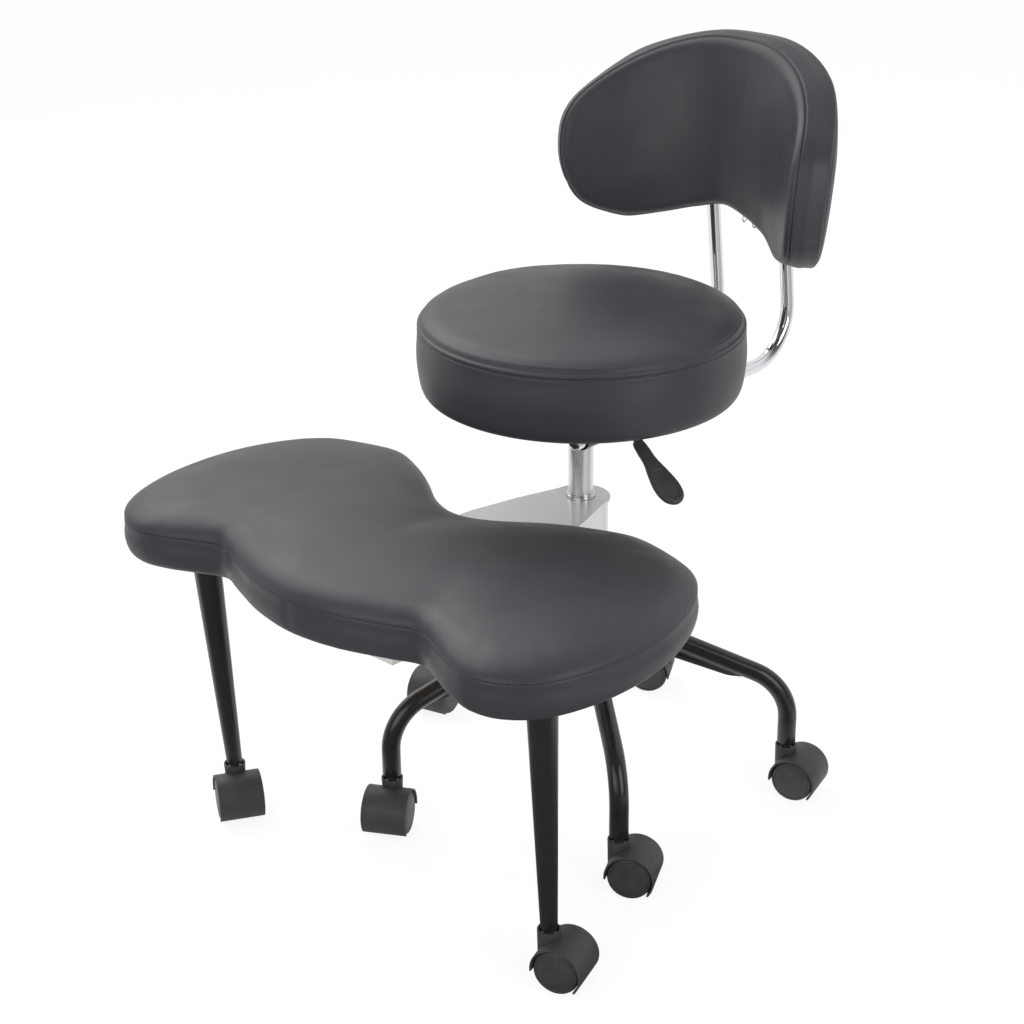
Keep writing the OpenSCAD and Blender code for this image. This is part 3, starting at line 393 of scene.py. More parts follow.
# %% Helpers that make and move an outline
def both_sides(half):
    """A whole outline from its right half, which runs from the top to the bottom."""
    half = [tuple(p) for p in half]
    return half + [(-x, y) for x, y in half[-2:0:-1]]


def smooth_outline(points, steps):
    """A smooth closed curve through points, with so many steps from each to the next."""
    p = np.asarray(points, float)
    before, here, after, beyond = (np.roll(p, k, axis=0)[:, None, :] for k in (1, 0, -1, -2))
    t = (np.arange(steps) / steps)[None, :, None]
    curve = (2 * here + (after - before) * t + (2 * before - 5 * here + 4 * after - beyond) * t**2
             + (3 * here - before - 3 * after + beyond) * t**3) / 2
    return curve.reshape(-1, 2)


def moved_in(outline, distance):
    """The outline, moved inwards by one distance or by one for each point. It runs clockwise."""
    along = unit(np.roll(outline, -1, axis=0) - np.roll(outline, 1, axis=0))
    return outline + np.reshape(distance, (-1, 1)) * np.column_stack([along[:, 1], -along[:, 0]])


def drawn_in(outline, spine_share, t):
    """The outline, drawn a share of the way towards a spine that runs across it."""
    count = len(outline)
    across = (count // 2 - np.arange(count)) % count
    spine = np.column_stack([outline[:, 0] * spine_share, (outline[:, 1] + outline[across, 1]) / 2])
    return outline * (1 - t) + spine * t


def spine_faces(start, around):
    """The quads that join the two sides of the last row across the spine."""
    faces = []
    for i in [*range(around // 4), *range(around // 2, around * 3 // 4)]:
        j, j_next = (around // 2 - i) % around, (around // 2 - i - 1) % around
        quad = [start + i, start + (i + 1) % around, start + j_next, start + j]
        faces.append(quad if len(set(quad)) == 4 else quad[:3])
    return faces


def spined(rings, closed_start):
    """Rings joined by quads, closed across a spine at the end and perhaps at the start."""
    around = len(rings[0])
    faces = grid_faces(len(rings), around)
    if closed_start:
        faces += spine_faces(0, around)
    return np.concatenate(rings), faces + spine_faces((len(rings) - 1) * around, around)


# %% Helpers for smooth changes
def eases(value, start, end):
    """0 before the start, 1 after the end, and a smooth rise between them."""
    t = np.clip((np.asarray(value) - start) / (end - start), 0, 1)
    return t * t * (3 - 2 * t)


def crown(t, edge, edge_share):
    """Rise of a padded face from its seam, at 0, to its spine, at 1, with a quarter-round edge."""
    t = np.asarray(t, float)
    quarter = np.sqrt(1 - (1 - np.clip(t / edge, 0, 1)) ** 2)
    return edge_share * quarter + (1 - edge_share) * (1 - (1 - t) ** 2)


# %% Helper that sews a cover from its rows
def sewn_cover(name, rows, shape, closed_start):
    """A grid piece whose shape turns rows of (inset, draw, lift, how firmly sewn) into points."""
    rings = [shape(*row[:3]) for row in rows]
    around = len(rings[0])
    piece = new_piece(name, *spined(rings, closed_start), leatherette)
    pins = piece.vertex_groups.new(name="sewn")
    for k, row in enumerate(rows):
        if row[3]:
            pins.add(range(k * around, (k + 1) * around), float(row[3]), "REPLACE")
    return piece


# %% Helpers that fill a cover
def read_points(mesh):
    """A mesh's points as an array."""
    flat = np.empty(len(mesh.vertices) * 3, np.float32)
    mesh.vertices.foreach_get("co", flat)
    return flat.reshape(-1, 3).astype(float)


def write_points(mesh, points):
    """Moves a mesh's points to the places in an array."""
    mesh.vertices.foreach_set("co", points.astype(np.float32).ravel())
    mesh.update()


def calmed(piece, move):
    """The moves of a cover's points, evened out over their neighbours. Sewn points stay sewn."""
    edges = np.empty(len(piece.data.edges) * 2, np.int32)
    piece.data.edges.foreach_get("vertices", edges)
    a, b = edges[0::2], edges[1::2]
    neighbours = np.bincount(edges, minlength=len(move))[:, None]
    held = np.array([max([g.weight for g in v.groups], default=0.0) for v in piece.data.vertices])
    for k in range(calming_rounds):
        total = np.column_stack([
            np.bincount(a, move[b, i], len(move)) + np.bincount(b, move[a, i], len(move))
            for i in range(3)])
        move = (0.3 * move + 0.7 * total / neighbours) * (1 - held[:, None] * 0.5)
    return move


def blow_up(piece, most):
    """Fills a cover by cloth simulation. No point moves further than most, in millimetres."""
    start = read_points(piece.data)
    cloth = piece.modifiers.new("stuffing", "CLOTH")
    for name, value in cloth_settings.items():
        setattr(cloth.settings, name, value)
    cloth.settings.effector_weights.gravity = 0.0
    cloth.collision_settings.use_collision = False
    cloth.point_cache.frame_start = 1
    cloth.point_cache.frame_end = cloth_frames
    for number in range(1, cloth_frames + 1):
        scene.frame_set(number)
    graph = bpy.context.evaluated_depsgraph_get()
    blown = read_points(piece.evaluated_get(graph).data)
    piece.modifiers.remove(cloth)
    scene.frame_set(1)
    move = blown - start
    length = np.maximum(np.linalg.norm(move, axis=1)[:, None], 1e-9)
    limit = most * MM
    move *= limit / length * np.tanh(length / limit)
    write_points(piece.data, start + crease_share * move + (1 - crease_share) * calmed(piece, move))
    print(piece.name, "swelled by up to", round(float(length.max()) / MM, 1), "mm before the limit")


def subdivide(piece):
    """Splits every face in four and rounds the whole."""
    smoother = piece.modifiers.new("smoother", "SUBSURF")
    smoother.levels = 1
    smoother.render_levels = 1
    apply_modifiers(piece)
    piece.data.shade_smooth()


def join_panel(piece, around, joins, rows):
    """Pulls points of a side panel's rows in, where two lengths of it are sewn end to end."""
    points = read_points(piece.data)
    normals = np.array([v.normal for v in piece.data.vertices])
    for index in joins:
        picked = np.array(rows) * around + index % around
        points[picked] -= normals[picked] * join_depth * MM
    write_points(piece.data, points)


# %% [markdown]
# ## Stitches
#
# A topstitched seam is what tells a sewn cover from a moulded one. Each stitch is a short
# grain of thread that dips into the cloth at both ends. They are placed at an even pitch
# along a row of the cover, and lean a little across it, as lockstitch does.


# %% Helper that shapes one stitch
stitch_lean = math.radians(7.0)
stitch_rise = 0.12


def stitch(length, width):
    """A grain of thread along X, bowed so that its two ends dip. Gives its points and faces."""
    turns, bands = 6, 5
    points = []
    for place in np.linspace(-1, 1, bands + 1):
        thick = math.sqrt(max(1 - place**2, 0.04)) * width / 2
        dip = width * 0.5 * place**2
        for angle in whole_turn(turns):
            points.append((place * length / 2, thick * math.cos(angle), thick * math.sin(angle) - dip))
    ends = [tuple(range(turns)), tuple(range(bands * turns, (bands + 1) * turns))]
    return np.array(points), grid_faces(bands + 1, turns) + ends


# %% Helper that lays stitches along a row
def stitches(name, lines, node, pitch, length, width):
    """Stitches along closed lines. Each line is given with the directions that lead out of it."""
    grain, grain_faces = stitch(length, width)
    points, faces = [], []
    for line, outside in lines:
        closed = np.vstack([line, line[:1]])
        steps = np.linalg.norm(np.diff(closed, axis=0), axis=1)
        run = np.concatenate([[0], np.cumsum(steps)])
        count = int(run[-1] / pitch)
        for k in range(count):
            s = (k + 0.5) * run[-1] / count
            i = min(int(np.searchsorted(run, s, side="right")) - 1, len(line) - 1)
            share = (s - run[i]) / max(steps[i], 1e-9)
            j = (i + 1) % len(line)
            here = line[i] * (1 - share) + line[j] * share
            along = unit(line[j] - line[i])
            out = outside[i] * (1 - share) + outside[j] * share
            out = unit(out - along * (out @ along))
            side = np.cross(out, along)
            lengthwise = along * math.cos(stitch_lean) + side * math.sin(stitch_lean)
            crosswise = side * math.cos(stitch_lean) - along * math.sin(stitch_lean)
            start = len(points) * len(grain)
            points.append(here + out * stitch_rise + grain @ np.array([lengthwise, crosswise, out]))
            faces += [tuple(start + v for v in face) for face in grain_faces]
    piece = new_piece(name, np.concatenate(points), faces, thread)
    print(name, "has", len(points), "stitches")
    return join_frame(piece, node)


def seam_line(shape, inset, lift, outwards, upwards):
    """A row of a cover with the directions that lead out of it: so far outwards and upwards."""
    line = shape(inset, 0, lift)
    return line, shape(inset - outwards, 0, lift + upwards) - line


# %% [markdown]
# ## The seat
#
# The seat is a round foam pad, 360 mm across. Its cover has a top panel, a side panel and a
# narrow doubled band between them, with a sewn groove above and below the band. The side
# curves in at its foot and is stapled under the plywood. It could be turned about an axis,
# but that pinches a star into the middle. Drawing the rows towards a spine, as on the other
# pads, keeps the grid free of it. A row says how far it lies inside the outline, how far it
# is drawn towards the spine, how high it lies, and how firmly it is sewn.

# %% Sizes of the seat
seat_r = 180.0
seat_seam_z = 570.0
seat_base_z = 497.0
seat_crown = 22.0
seat_top_inset = 3.0
seat_around = 216
seat_spine_share = 0.5

angles = whole_turn(seat_around)
seat_outline = seat_r * np.column_stack([np.sin(angles), np.cos(angles)])


def seat_shape(inset, draw, lift):
    """A row of the seat's cover. Over the crown the height follows the true radius."""
    flat = drawn_in(moved_in(seat_outline, inset), seat_spine_share, draw)
    share = np.minimum(np.linalg.norm(flat, axis=1) / (seat_r - seat_top_inset), 1)
    rise = seat_crown * crown(1 - share, 0.13, 0.62) if draw > 0 else 0
    return np.column_stack([flat, np.full(len(flat), lift) + rise])


# %% Rows of the seat's cover, from the hem to the spine
seam = seat_seam_z
foot = seat_base_z
seat_rows = [
    (30.0, 0, foot - 0.8, 1), (25.0, 0, foot - 2.6, 1), (19.0, 0, foot - 3.8, 1),
    (13.0, 0, foot - 4.0, 1), (8.5, 0, foot - 3.0, 1), (5.2, 0, foot - 0.4, 1),
    (3.1, 0, foot + 4.0, 1), (1.8, 0, foot + 9.0, 0.6),
]
seat_rows += [
    (1.0 - 0.7 * t - 1.8 * math.sin(math.pi * t), 0, foot + 14 + 47 * t, 0)
    for t in np.linspace(0, 1, 9)]
seat_rows += [
    (0.3, 0, seam - 7.0, 1), (0.2, 0, seam - 5.0, 1), (0.9, 0, seam - 3.9, 1), (2.5, 0, seam - 3.3, 1),
    (0.9, 0, seam - 2.6, 1), (0.3, 0, seam - 1.2, 1), (0.5, 0, seam + 0.6, 1), (1.4, 0, seam + 1.6, 1),
    (3.4, 0, seam + 1.8, 1), (4.2, 0.004, seam + 1.2, 1), (4.4, 0.02, seam, 0.5),
]
seat_rows += [(seat_top_inset, 0.02 + 0.95 * t**1.5, seam, 0) for t in np.linspace(0.05, 1, 27)]
print("the seat's cover has", len(seat_rows), "rows")

# %% Sew and fill the seat
seat_cover = sewn_cover("seat_cover", seat_rows, seat_shape, closed_start=False)
blow_up(seat_cover, 4.0)
subdivide(seat_cover)
join_frame(seat_cover, "seat_cushion", ["seat_cushion"])

outwards = np.column_stack([seat_outline / seat_r, np.zeros(seat_around)])
stitches("seat_stitches", [
    (seat_shape(2.5, 0, seam - 3.3) + outwards * 0.9, outwards),
    (seat_shape(3.4, 0, seam + 1.8) + [0, 0, 0.5], outwards + [0, 0, 1.0]),
], "seat_cushion", 3.8, 2.9, 0.62)

# %% [markdown]
# ## The footstool
#
# The footstool's pad is shaped like a butterfly, so that both feet can rest on it cross
# legged. Its outline is a smooth curve through a few points of one side, mirrored, and its
# cover is sewn from the same kinds of row as the seat's, with a single seam along the edge.
# A subdivided cage could give the same outline, but the seam would wander off it.

# %% Sizes of the footstool
stool_half_w = 330.0
stool_depth = 334.0
stool_front = 441.0
stool_base_z = 352.0
stool_side_h = 41.0
stool_crown = 22.0
stool_spine_share = 0.66
stool_outline_shares = [
    (0, 1), (0.18, 0.95), (0.34, 0.84), (0.44, 0.77), (0.53, 0.835), (0.64, 0.93),
    (0.74, 0.97), (0.84, 0.915), (0.93, 0.74), (0.985, 0.44),
    (1, 0.08), (0.975, -0.28), (0.91, -0.62), (0.825, -0.83), (0.71, -0.94),
    (0.545, -1), (0.41, -0.905), (0.29, -0.77), (0.167, -0.60), (0.075, -0.515), (0, -0.49),
]
stool_outline = smooth_outline(
    [(x * stool_half_w, y * stool_depth / 2) for x, y in both_sides(stool_outline_shares)], 8)
stool_mid_y = stool_front - stool_depth / 2


def stool_shape(inset, draw, lift):
    """A row of the footstool's cover, at a height above the board's underside."""
    flat = drawn_in(moved_in(stool_outline, inset), stool_spine_share, draw)
    rise = stool_crown * crown(draw, 0.19, 0.76) if draw > 0 else 0
    height = np.full(len(flat), stool_base_z + lift + rise)
    return np.column_stack([flat[:, 0], -stool_mid_y - flat[:, 1], height])


# %% Rows of the footstool's cover, from the hem to the spine
side = stool_side_h
stool_rows = [
    (26.0, 0, -0.6, 1), (18.0, 0, -1.2, 1), (11.0, 0, -0.8, 1), (6.6, 0, 0.8, 1), (3.6, 0, 3.6, 1),
    (1.7, 0, 7.4, 0.6),
]
stool_rows += [(0.6 - 1.6 * math.sin(math.pi * t), 0, 11 + 20 * t, 0) for t in np.linspace(0, 1, 5)]
stool_rows += [
    (0.3, 0, side - 6.0, 0.4), (0.4, 0, side - 3.2, 0.8), (0.6, 0, side - 1.4, 1), (1.4, 0, side - 0.5, 1),
    (2.2, 0, side, 1), (1.4, 0, side + 0.5, 1), (0.7, 0, side + 1.4, 1), (0.8, 0, side + 3.2, 0.8),
]
stool_rows += [(1.0, 0.008 + 0.962 * t**1.6, side, 0) for t in np.linspace(0.06, 1, 30)]
print("the footstool's cover has", len(stool_rows), "rows")

# %% Sew and fill the footstool
stool_cover = sewn_cover("stool_cover", stool_rows, stool_shape, closed_start=False)
blow_up(stool_cover, 4.5)
stool_side_rows = [k for k, row in enumerate(stool_rows) if row[1] == 0 and 8 < row[2] < side - 2]
join_panel(stool_cover, len(stool_outline), [0], stool_side_rows)
subdivide(stool_cover)
join_frame(stool_cover, "stool_pad", ["stool_pad"])
stool_seam = seam_line(stool_shape, 0.8, side + 1.6, 1, 0.4)
stitches("stool_stitches", [stool_seam], "stool_pad", 3.4, 2.3, 0.6)

# %% [markdown]
# ## The back
#
# The back is a bean-shaped pad that is bent round the sitter: its front seam lies on a
# cylinder that leans back by eight degrees. Rows of the same kind are used, and are wrapped
# round that cylinder. The front panel swells towards the sitter, and the rear panel is
# flatter, because a bent board lies just behind it. Behind the front seam the wings grow
# thinner and shorter, and their lower tips hang a little, as foam does past its board. The
# sitter's left tip, at the positive x, hangs lower.

# %% Sizes of the back
back_half_arc = 208.0
back_h = 210.0
back_top_z = 835.0
back_bend_r = 186.0
back_bend_y = 55.0
back_lean = math.radians(8)
back_lean_z = 600.0
back_side_t = 36.0
back_crown = 12.0
back_rear_crown = 5.0
back_spine_share = 0.62
wing_taper = 12.0
wing_thinning = 2.0
tip_drops = (5.0, 16.0)
tip_rear_drop = 8.0
back_outline_shares = [
    (0, 1), (0.20, 0.985), (0.40, 0.89), (0.60, 0.73), (0.80, 0.50), (0.94, 0.27),
    (1, -0.02), (0.98, -0.42), (0.86, -0.80), (0.66, -0.97), (0.42, -1), (0.19, -0.89), (0, -0.81),
]
back_outline = smooth_outline(
    [(x * back_half_arc, y * back_h / 2) for x, y in both_sides(back_outline_shares)], 10)


# %% Bend a row of the back's cover
def back_shape(inset, draw, depth):
    """A row of the back's cover, wrapped round its curve at a depth behind the front seam."""
    behind = min(max(depth / back_side_t, 0), 1)
    wing = eases(np.abs(back_outline[:, 0]) / back_half_arc, 0.55, 0.95)
    flat = drawn_in(moved_in(back_outline, inset + wing_taper * behind * wing), back_spine_share, draw)
    outer = eases(np.abs(flat[:, 0]) / back_half_arc, 0.36, 0.6)
    low = outer * eases(-flat[:, 1] * 2 / back_h, 0, 0.75)
    flat[:, 1] -= low * (np.where(flat[:, 0] > 0, tip_drops[1], tip_drops[0]) + tip_rear_drop * behind)
    if draw > 0 and depth <= 0:
        depth = depth - back_crown * crown(draw, 0.11, 0.66)
    elif draw > 0:
        depth = depth + back_rear_crown * min(draw / 0.18, 1) ** 0.5
    depth = depth - wing_thinning * behind * wing
    turn = flat[:, 0] / back_bend_r
    z = back_top_z - back_h / 2 + flat[:, 1]
    return np.column_stack([
        (back_bend_r + depth) * np.sin(turn),
        back_bend_y + (back_bend_r + depth) * np.cos(turn) + math.tan(back_lean) * (z - back_lean_z),
        z])


# %% Rows of the back's cover, from the front spine to the rear one
thick = back_side_t
back_rows = [(2.6, 0.008 + 0.962 * t**1.6, 0, 0) for t in np.linspace(1, 0.07, 28)]
back_rows += [
    (2.5, 0.004, 0, 1), (2.6, 0, -0.4, 1), (3.3, 0, 0.4, 1), (3.5, 0, 1.2, 1), (2.4, 0, 1.3, 1),
    (1.5, 0, 1.5, 1), (0.7, 0, 3.0, 1), (0.2, 0, 6.0, 0.6),
]
back_rows += [(0.2 - 1.5 * math.sin(math.pi * t), 0, 10 + (thick - 20) * t, 0) for t in np.linspace(0, 1, 4)]
back_rows += [
    (0.2, 0, thick - 6.0, 0.6), (0.4, 0, thick - 3.0, 1), (1.0, 0, thick - 1.4, 1), (2.6, 0, thick - 0.7, 1),
    (3.4, 0, thick, 1), (3.4, 0.008, thick, 1), (4.0, 0.03, thick, 1),
]
back_rows += [(5.0, t, thick, 1) for t in np.linspace(0.08, 0.97, 14)]
print("the back's cover has", len(back_rows), "rows")

# %% Sew and fill the back
back_cover = sewn_cover("back_cover", back_rows, back_shape, closed_start=True)
blow_up(back_cover, 4.0)
back_side_rows = [k for k, row in enumerate(back_rows) if row[1] == 0 and 2 < row[2] < thick - 2]
join_panel(back_cover, len(back_outline), [75, -75], back_side_rows)
subdivide(back_cover)
join_frame(back_cover, "back_pad", ["back_pad"])
stitches("back_stitches", [
    seam_line(back_shape, 2.5, -1.6, 0.3, -1), seam_line(back_shape, 0.9, 2.6, 1, -0.5),
    seam_line(back_shape, 1.0, thick - 2.0, 1, 0.5),
], "back_pad", 3.4, 2.4, 0.6)

# %% [markdown]
# ## Turned, bent and pressed parts
#
# Nothing that comes off a lathe, a bender or a press has a knife edge: a burr is knocked off
# or paint rounds it. That thin line of light along each edge is what makes metal look real.
# So the outlines below are given by their corners, and a helper eases every corner before
# the outline is turned, swept or cut out.


# %% Helpers for corners and turned profiles
def eased(corners, ease, steps=3, closed=True):
    """The outline with a small curve at each corner."""
    corners = [np.array(c, float) for c in corners]
    count = len(corners)
    points = []
    for i, corner in enumerate(corners):
        if not closed and i in (0, count - 1):
            points.append(corner)
            continue
        before, after = corners[i - 1] - corner, corners[(i + 1) % count] - corner
        cut = min(ease, np.linalg.norm(before) * 0.45, np.linalg.norm(after) * 0.45)
        start, end = corner + unit(before) * cut, corner + unit(after) * cut
        for t in np.linspace(0, 1, steps):
            points.append(start * (1 - t) ** 2 + corner * 2 * t * (1 - t) + end * t**2)
    return np.array(points)


def turned(profile, segments=64, ring=True):
    """A profile of (radius, height) turned about Z. It is a ring, or starts and ends on the axis."""
    angle = whole_turn(segments)
    points = np.concatenate([
        np.column_stack([r * np.cos(angle), r * np.sin(angle), np.full(segments, z)])
        for r, z in profile])
    faces = grid_faces(len(profile), segments)
    if ring:
        last = (len(profile) - 1) * segments
        faces += [
            (last + i, last + (i + 1) % segments, (i + 1) % segments, i) for i in range(segments)]
    return points, faces


# %% Helpers for plates and bent tubes
def capped(rings):
    """Rings of points joined by quads, with a flat face over each end."""
    around, last = len(rings[0]), (len(rings) - 1) * len(rings[0])
    faces = grid_faces(len(rings), around)
    faces += [tuple(range(around)), tuple(range(last, last + around))]
    return np.concatenate(rings), faces


def slab(outline, low, high, ease):
    """A plate with eased edges, cut to an outline in the XY plane. The outline runs clockwise."""
    rows = [(ease, low), (ease * 0.3, low + ease * 0.3), (0, low + ease),
            (0, high - ease), (ease * 0.3, high - ease * 0.3), (ease, high)]
    return capped([
        np.column_stack([moved_in(outline, inset), np.full(len(outline), z)]) for inset, z in rows])


def bent_line(corners, bend_r, degrees=5):
    """Points and headings of a line in the XZ plane whose corners are bent to a radius."""
    corners = [np.array(c, float) for c in corners]
    line = []
    for i, corner in enumerate(corners):
        if i in (0, len(corners) - 1):
            heading = corners[1] - corners[0] if i == 0 else corner - corners[-2]
            line.append((corner, math.atan2(heading[1], heading[0])))
            continue
        arriving = math.atan2(*(corner - corners[i - 1])[::-1])
        leaving = math.atan2(*(corners[i + 1] - corner)[::-1])
        turn = (leaving - arriving + math.pi) % (2 * math.pi) - math.pi
        onwards = np.array([math.cos(arriving), math.sin(arriving)])
        start = corner - bend_r * math.tan(abs(turn) / 2) * onwards
        radius = math.copysign(bend_r, turn)
        centre = start + radius * np.array([-math.sin(arriving), math.cos(arriving)])
        steps = max(2, int(abs(math.degrees(turn)) / degrees))
        for heading in arriving + turn * np.arange(steps + 1) / steps:
            line.append((centre - radius * np.array([-math.sin(heading), math.cos(heading)]), heading))
    return line


def tube(line, radius, around=40, start_cap=(), end_cap=()):
    """A round tube along a bent line. The caps are (distance past the end, radius)."""
    rings = [(*line[0], -distance, r) for distance, r in reversed(start_cap)]
    rings += [(point, heading, 0, radius) for point, heading in line]
    rings += [(*line[-1], distance, r) for distance, r in end_cap]
    angle = whole_turn(around)
    made = []
    for point, heading, past, r in rings:
        along = np.array([math.cos(heading), 0, math.sin(heading)])
        across = np.array([-math.sin(heading), 0, math.cos(heading)])
        centre = np.array([point[0], 0, point[1]]) + past * along
        made.append(centre + r * (np.outer(np.cos(angle), across) + np.outer(np.sin(angle), [0, 1, 0])))
    return capped(made)


# %% Helper for welds
weld_ripple = 2.2


def bead(path, radius, around=8):
    """A weld bead along points, with the ripples that the welder's hand leaves."""
    path = np.asarray(path, float)
    along = unit(np.gradient(path, axis=0))
    run = np.concatenate([[0], np.cumsum(np.linalg.norm(np.diff(path, axis=0), axis=1))])
    rest = np.where(np.abs(along[:, 2:3]) < 0.9, [[0, 0, 1.0]], [[1.0, 0, 0]])
    side = unit(np.cross(along, rest))
    up = np.cross(side, along)
    angle = whole_turn(around)
    made = []
    for k, centre in enumerate(path):
        end = min(run[k], run[-1] - run[k]) / radius
        ripple = 0.84 + 0.16 * math.cos(2 * math.pi * run[k] / weld_ripple)
        r = radius * ripple * min(1, 0.3 + 0.7 * end)
        made.append(centre + r * (np.outer(np.cos(angle), side[k]) + np.outer(np.sin(angle), up[k])))
    return capped(made)


# %% Helpers that join and place forms
def joined(*forms):
    """Several closed forms as the points and faces of one piece."""
    points, faces, start = [], [], 0
    for form_points, form_faces in forms:
        points.append(form_points)
        faces += [tuple(v + start for v in face) for face in form_faces]
        start += len(form_points)
    return np.concatenate(points), faces


def stood(form, x_axis, y_axis, z_axis, place):
    """A form turned so that its own axes point along the given ones, and moved to a place."""
    return form[0] @ np.array([x_axis, y_axis, z_axis], float) + np.array(place, float), form[1]


def about_column(form, degrees):
    """A form turned about the column."""
    c, s = math.cos(math.radians(degrees)), math.sin(math.radians(degrees))
    return stood(form, (c, s, 0), (-s, c, 0), (0, 0, 1), (0, 0, 0))


def made_for(node, form, sharp_angle=40, material=None):
    """A rigid piece that stands for a CAD node and takes its finish, or another of the same slot."""
    piece = new_piece(node + "_made", *form, material or finishes[slot_of[node]], sharp_angle)
    return join_frame(piece, node, [node])


# %% [markdown]
# ## The zip under the back
#
# The back's cover closes with a zip along its lower edge. Its two sliders meet near the
# middle and their pulls hang down past the edge. The teeth are short bars along the cover's
# own outline, and a pull is a small wire ring, turned about an axis and then stretched.
# Bump could draw the teeth, but only rings of real wire hang free of the cover.

# %% Sizes of the zip
zip_depth = 9.0
zip_first, zip_last = 104, 137
tooth_shares = (0.0, 0.34, 0.67)
slider_places = ((110, 0.25), (113, -0.2))
pull_wire_r = 0.6
pull_r = 2.7
pull_stretch = (0.85, 1.6, 1.0)
pull_drop = 6.4
pull_facing = np.array([0.62, -0.78, 0])

# %% Make the zip, its sliders and pulls
tooth = slab(eased([(-0.5, -1.6), (-0.5, 1.6), (0.5, 1.6), (0.5, -1.6)], 0.3), -0.6, 0.9, 0.25)
slider = slab(eased([(-2.6, -3.6), (-3.4, 3.6), (3.4, 3.6), (2.6, -3.6)], 1.2, 4), -2.0, 1.6, 0.6)
wire = [
    (pull_r + pull_wire_r * math.cos(a), pull_wire_r * math.sin(a))
    for a in whole_turn(10)]
ring_points, ring_faces = turned(wire, 28)
pull = ring_points * pull_stretch, ring_faces
zip_line = back_shape(0.6, 0, zip_depth)
zip_parts = []
for index in range(zip_first, zip_last):
    step = zip_line[index + 1] - zip_line[index]
    run = unit(step)
    level = unit(np.cross(run, (0, 0, 1)))
    for share in tooth_shares:
        place = zip_line[index] + step * share
        zip_parts.append(stood(tooth, run, level, np.cross(run, level), place))
print("the zip has", len(zip_parts), "teeth")
for index, swing in slider_places:
    spot = zip_line[index]
    zip_parts.append(stood(slider, (1, 0, 0), (0, 1, 0), (0, 0, 1), spot - [0, 0, 1.0]))
    hang = np.array([math.sin(swing), 0, -math.cos(swing)])
    level = np.cross(hang, pull_facing)
    zip_parts.append(stood(pull, level, hang, np.cross(level, hang), spot + hang * pull_drop))
zip_piece = new_piece("back_zip", *joined(*zip_parts), zinc, 40)
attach(zip_piece, body_of_node["back_pad"])

# %% [markdown]
# ## The rolling base
#
# Each leg is a tube that slopes away from the hub and then bends down to its caster. Under
# the slope a flat fin is welded on, so the leg can't fold. A curve object with a round bevel
# would make the tube too, but a swept ring of points lets its end be rounded and its welds
# follow it. The legs' directions are read from the frame: each points at its caster's stem.

# %% Sizes of the base
leg_r = 10.75
leg_slope = math.radians(20.5)
leg_bend_r = 60.0
leg_hub_z = 217.5
leg_end_z = 62.0
hub_r = 29.0
hub_wall = 2.5
fin_half_t = 2.5
fin_root_drop = 32.0
fin_tip_drop = 16.5
fin_tip_l = 20.0
joint_of = {joint["name"]: joint for joint in frame["joints"]}
stem_of = {
    k: (np.array(joint_of[f"caster_{k}_swivel"]["pos_m"]) - column) / MM for k in range(1, 8)}
base_reach = float(np.linalg.norm(stem_of[1][:2]))
print("the base reaches", round(base_reach, 1), "mm from the column")


# %% Shape the leg's tube, fin and welds
def slope_z(x):
    """Height of a leg's centre line on its slope."""
    return leg_hub_z - (x - hub_r) * math.tan(leg_slope)


def fin_form(start, fin_end):
    """The fin under a leg's slope. Its foot slants up towards the tip, where it is cut short."""
    root, tip = slope_z(0) - fin_root_drop, slope_z(fin_end) - fin_tip_drop
    foot_at = [(x, root + (tip - root) * x / fin_end) for x in (fin_end - fin_tip_l, start)]
    corners = [(start, slope_z(start)), (fin_end, slope_z(fin_end)),
               (fin_end, slope_z(fin_end) - leg_r), *foot_at]
    plate = slab(eased(corners, 6.0, 5), -fin_half_t, fin_half_t, 0.7)
    return stood(plate, (1, 0, 0), (0, 0, 1), (0, -1, 0), (0, 0, 0))


def hub_weld():
    """The bead round a leg where it meets the hub, on the hub's own curve."""
    ring = []
    for angle in np.radians(np.arange(0, 361, 4.0)):
        y = (leg_r + 0.3) * math.sin(angle)
        x = math.sqrt(hub_r**2 - y**2)
        ring.append((x + 0.4, y, slope_z(x) + (leg_r + 0.3) * math.cos(angle) / math.cos(leg_slope)))
    return bead(ring, 2.0)


def leg_form():
    """A leg along X, from inside the hub's wall to the caster's stem."""
    start = hub_r - hub_wall
    corners = [(start, slope_z(start)), (base_reach, slope_z(base_reach)), (base_reach, leg_end_z + 3)]
    end_cap = [(1.4, leg_r - 0.5), (2.6, leg_r - 1.7), (3.0, leg_r - 2.4)]
    leg_tube = tube(bent_line(corners, leg_bend_r), leg_r, end_cap=end_cap)
    cut = leg_bend_r * math.tan((math.pi / 2 - leg_slope) / 2) * math.cos(leg_slope)
    fin_end = base_reach - cut - leg_r
    drop = math.sqrt(leg_r**2 - fin_half_t**2) / math.cos(leg_slope) + 0.2
    xs = np.arange(hub_r + 6, fin_end - 4, 0.8)
    welds = [
        bead([(x, side * (fin_half_t + 0.5), slope_z(x) - drop) for x in xs], 1.5) for side in (-1, 1)]
    return joined(leg_tube, fin_form(start, fin_end), *welds, hub_weld())


# %% Make the five legs
one_leg = leg_form()
for k in range(1, 6):
    turn = math.degrees(math.atan2(stem_of[k][1], stem_of[k][0]))
    made_for(f"leg_{k}", about_column(one_leg, turn))
    print("leg", k, "points at", round(turn, 1), "degrees")

# %% [markdown]
# ## Hub and gas lift
#
# The hub is a plain sleeve that the legs are welded to. The gas cylinder is a chromed tube
# with a closed head, and a thin chromed collar stands round it on the arm. All three are
# turned from their sections, as a lathe would make them, with every corner eased.

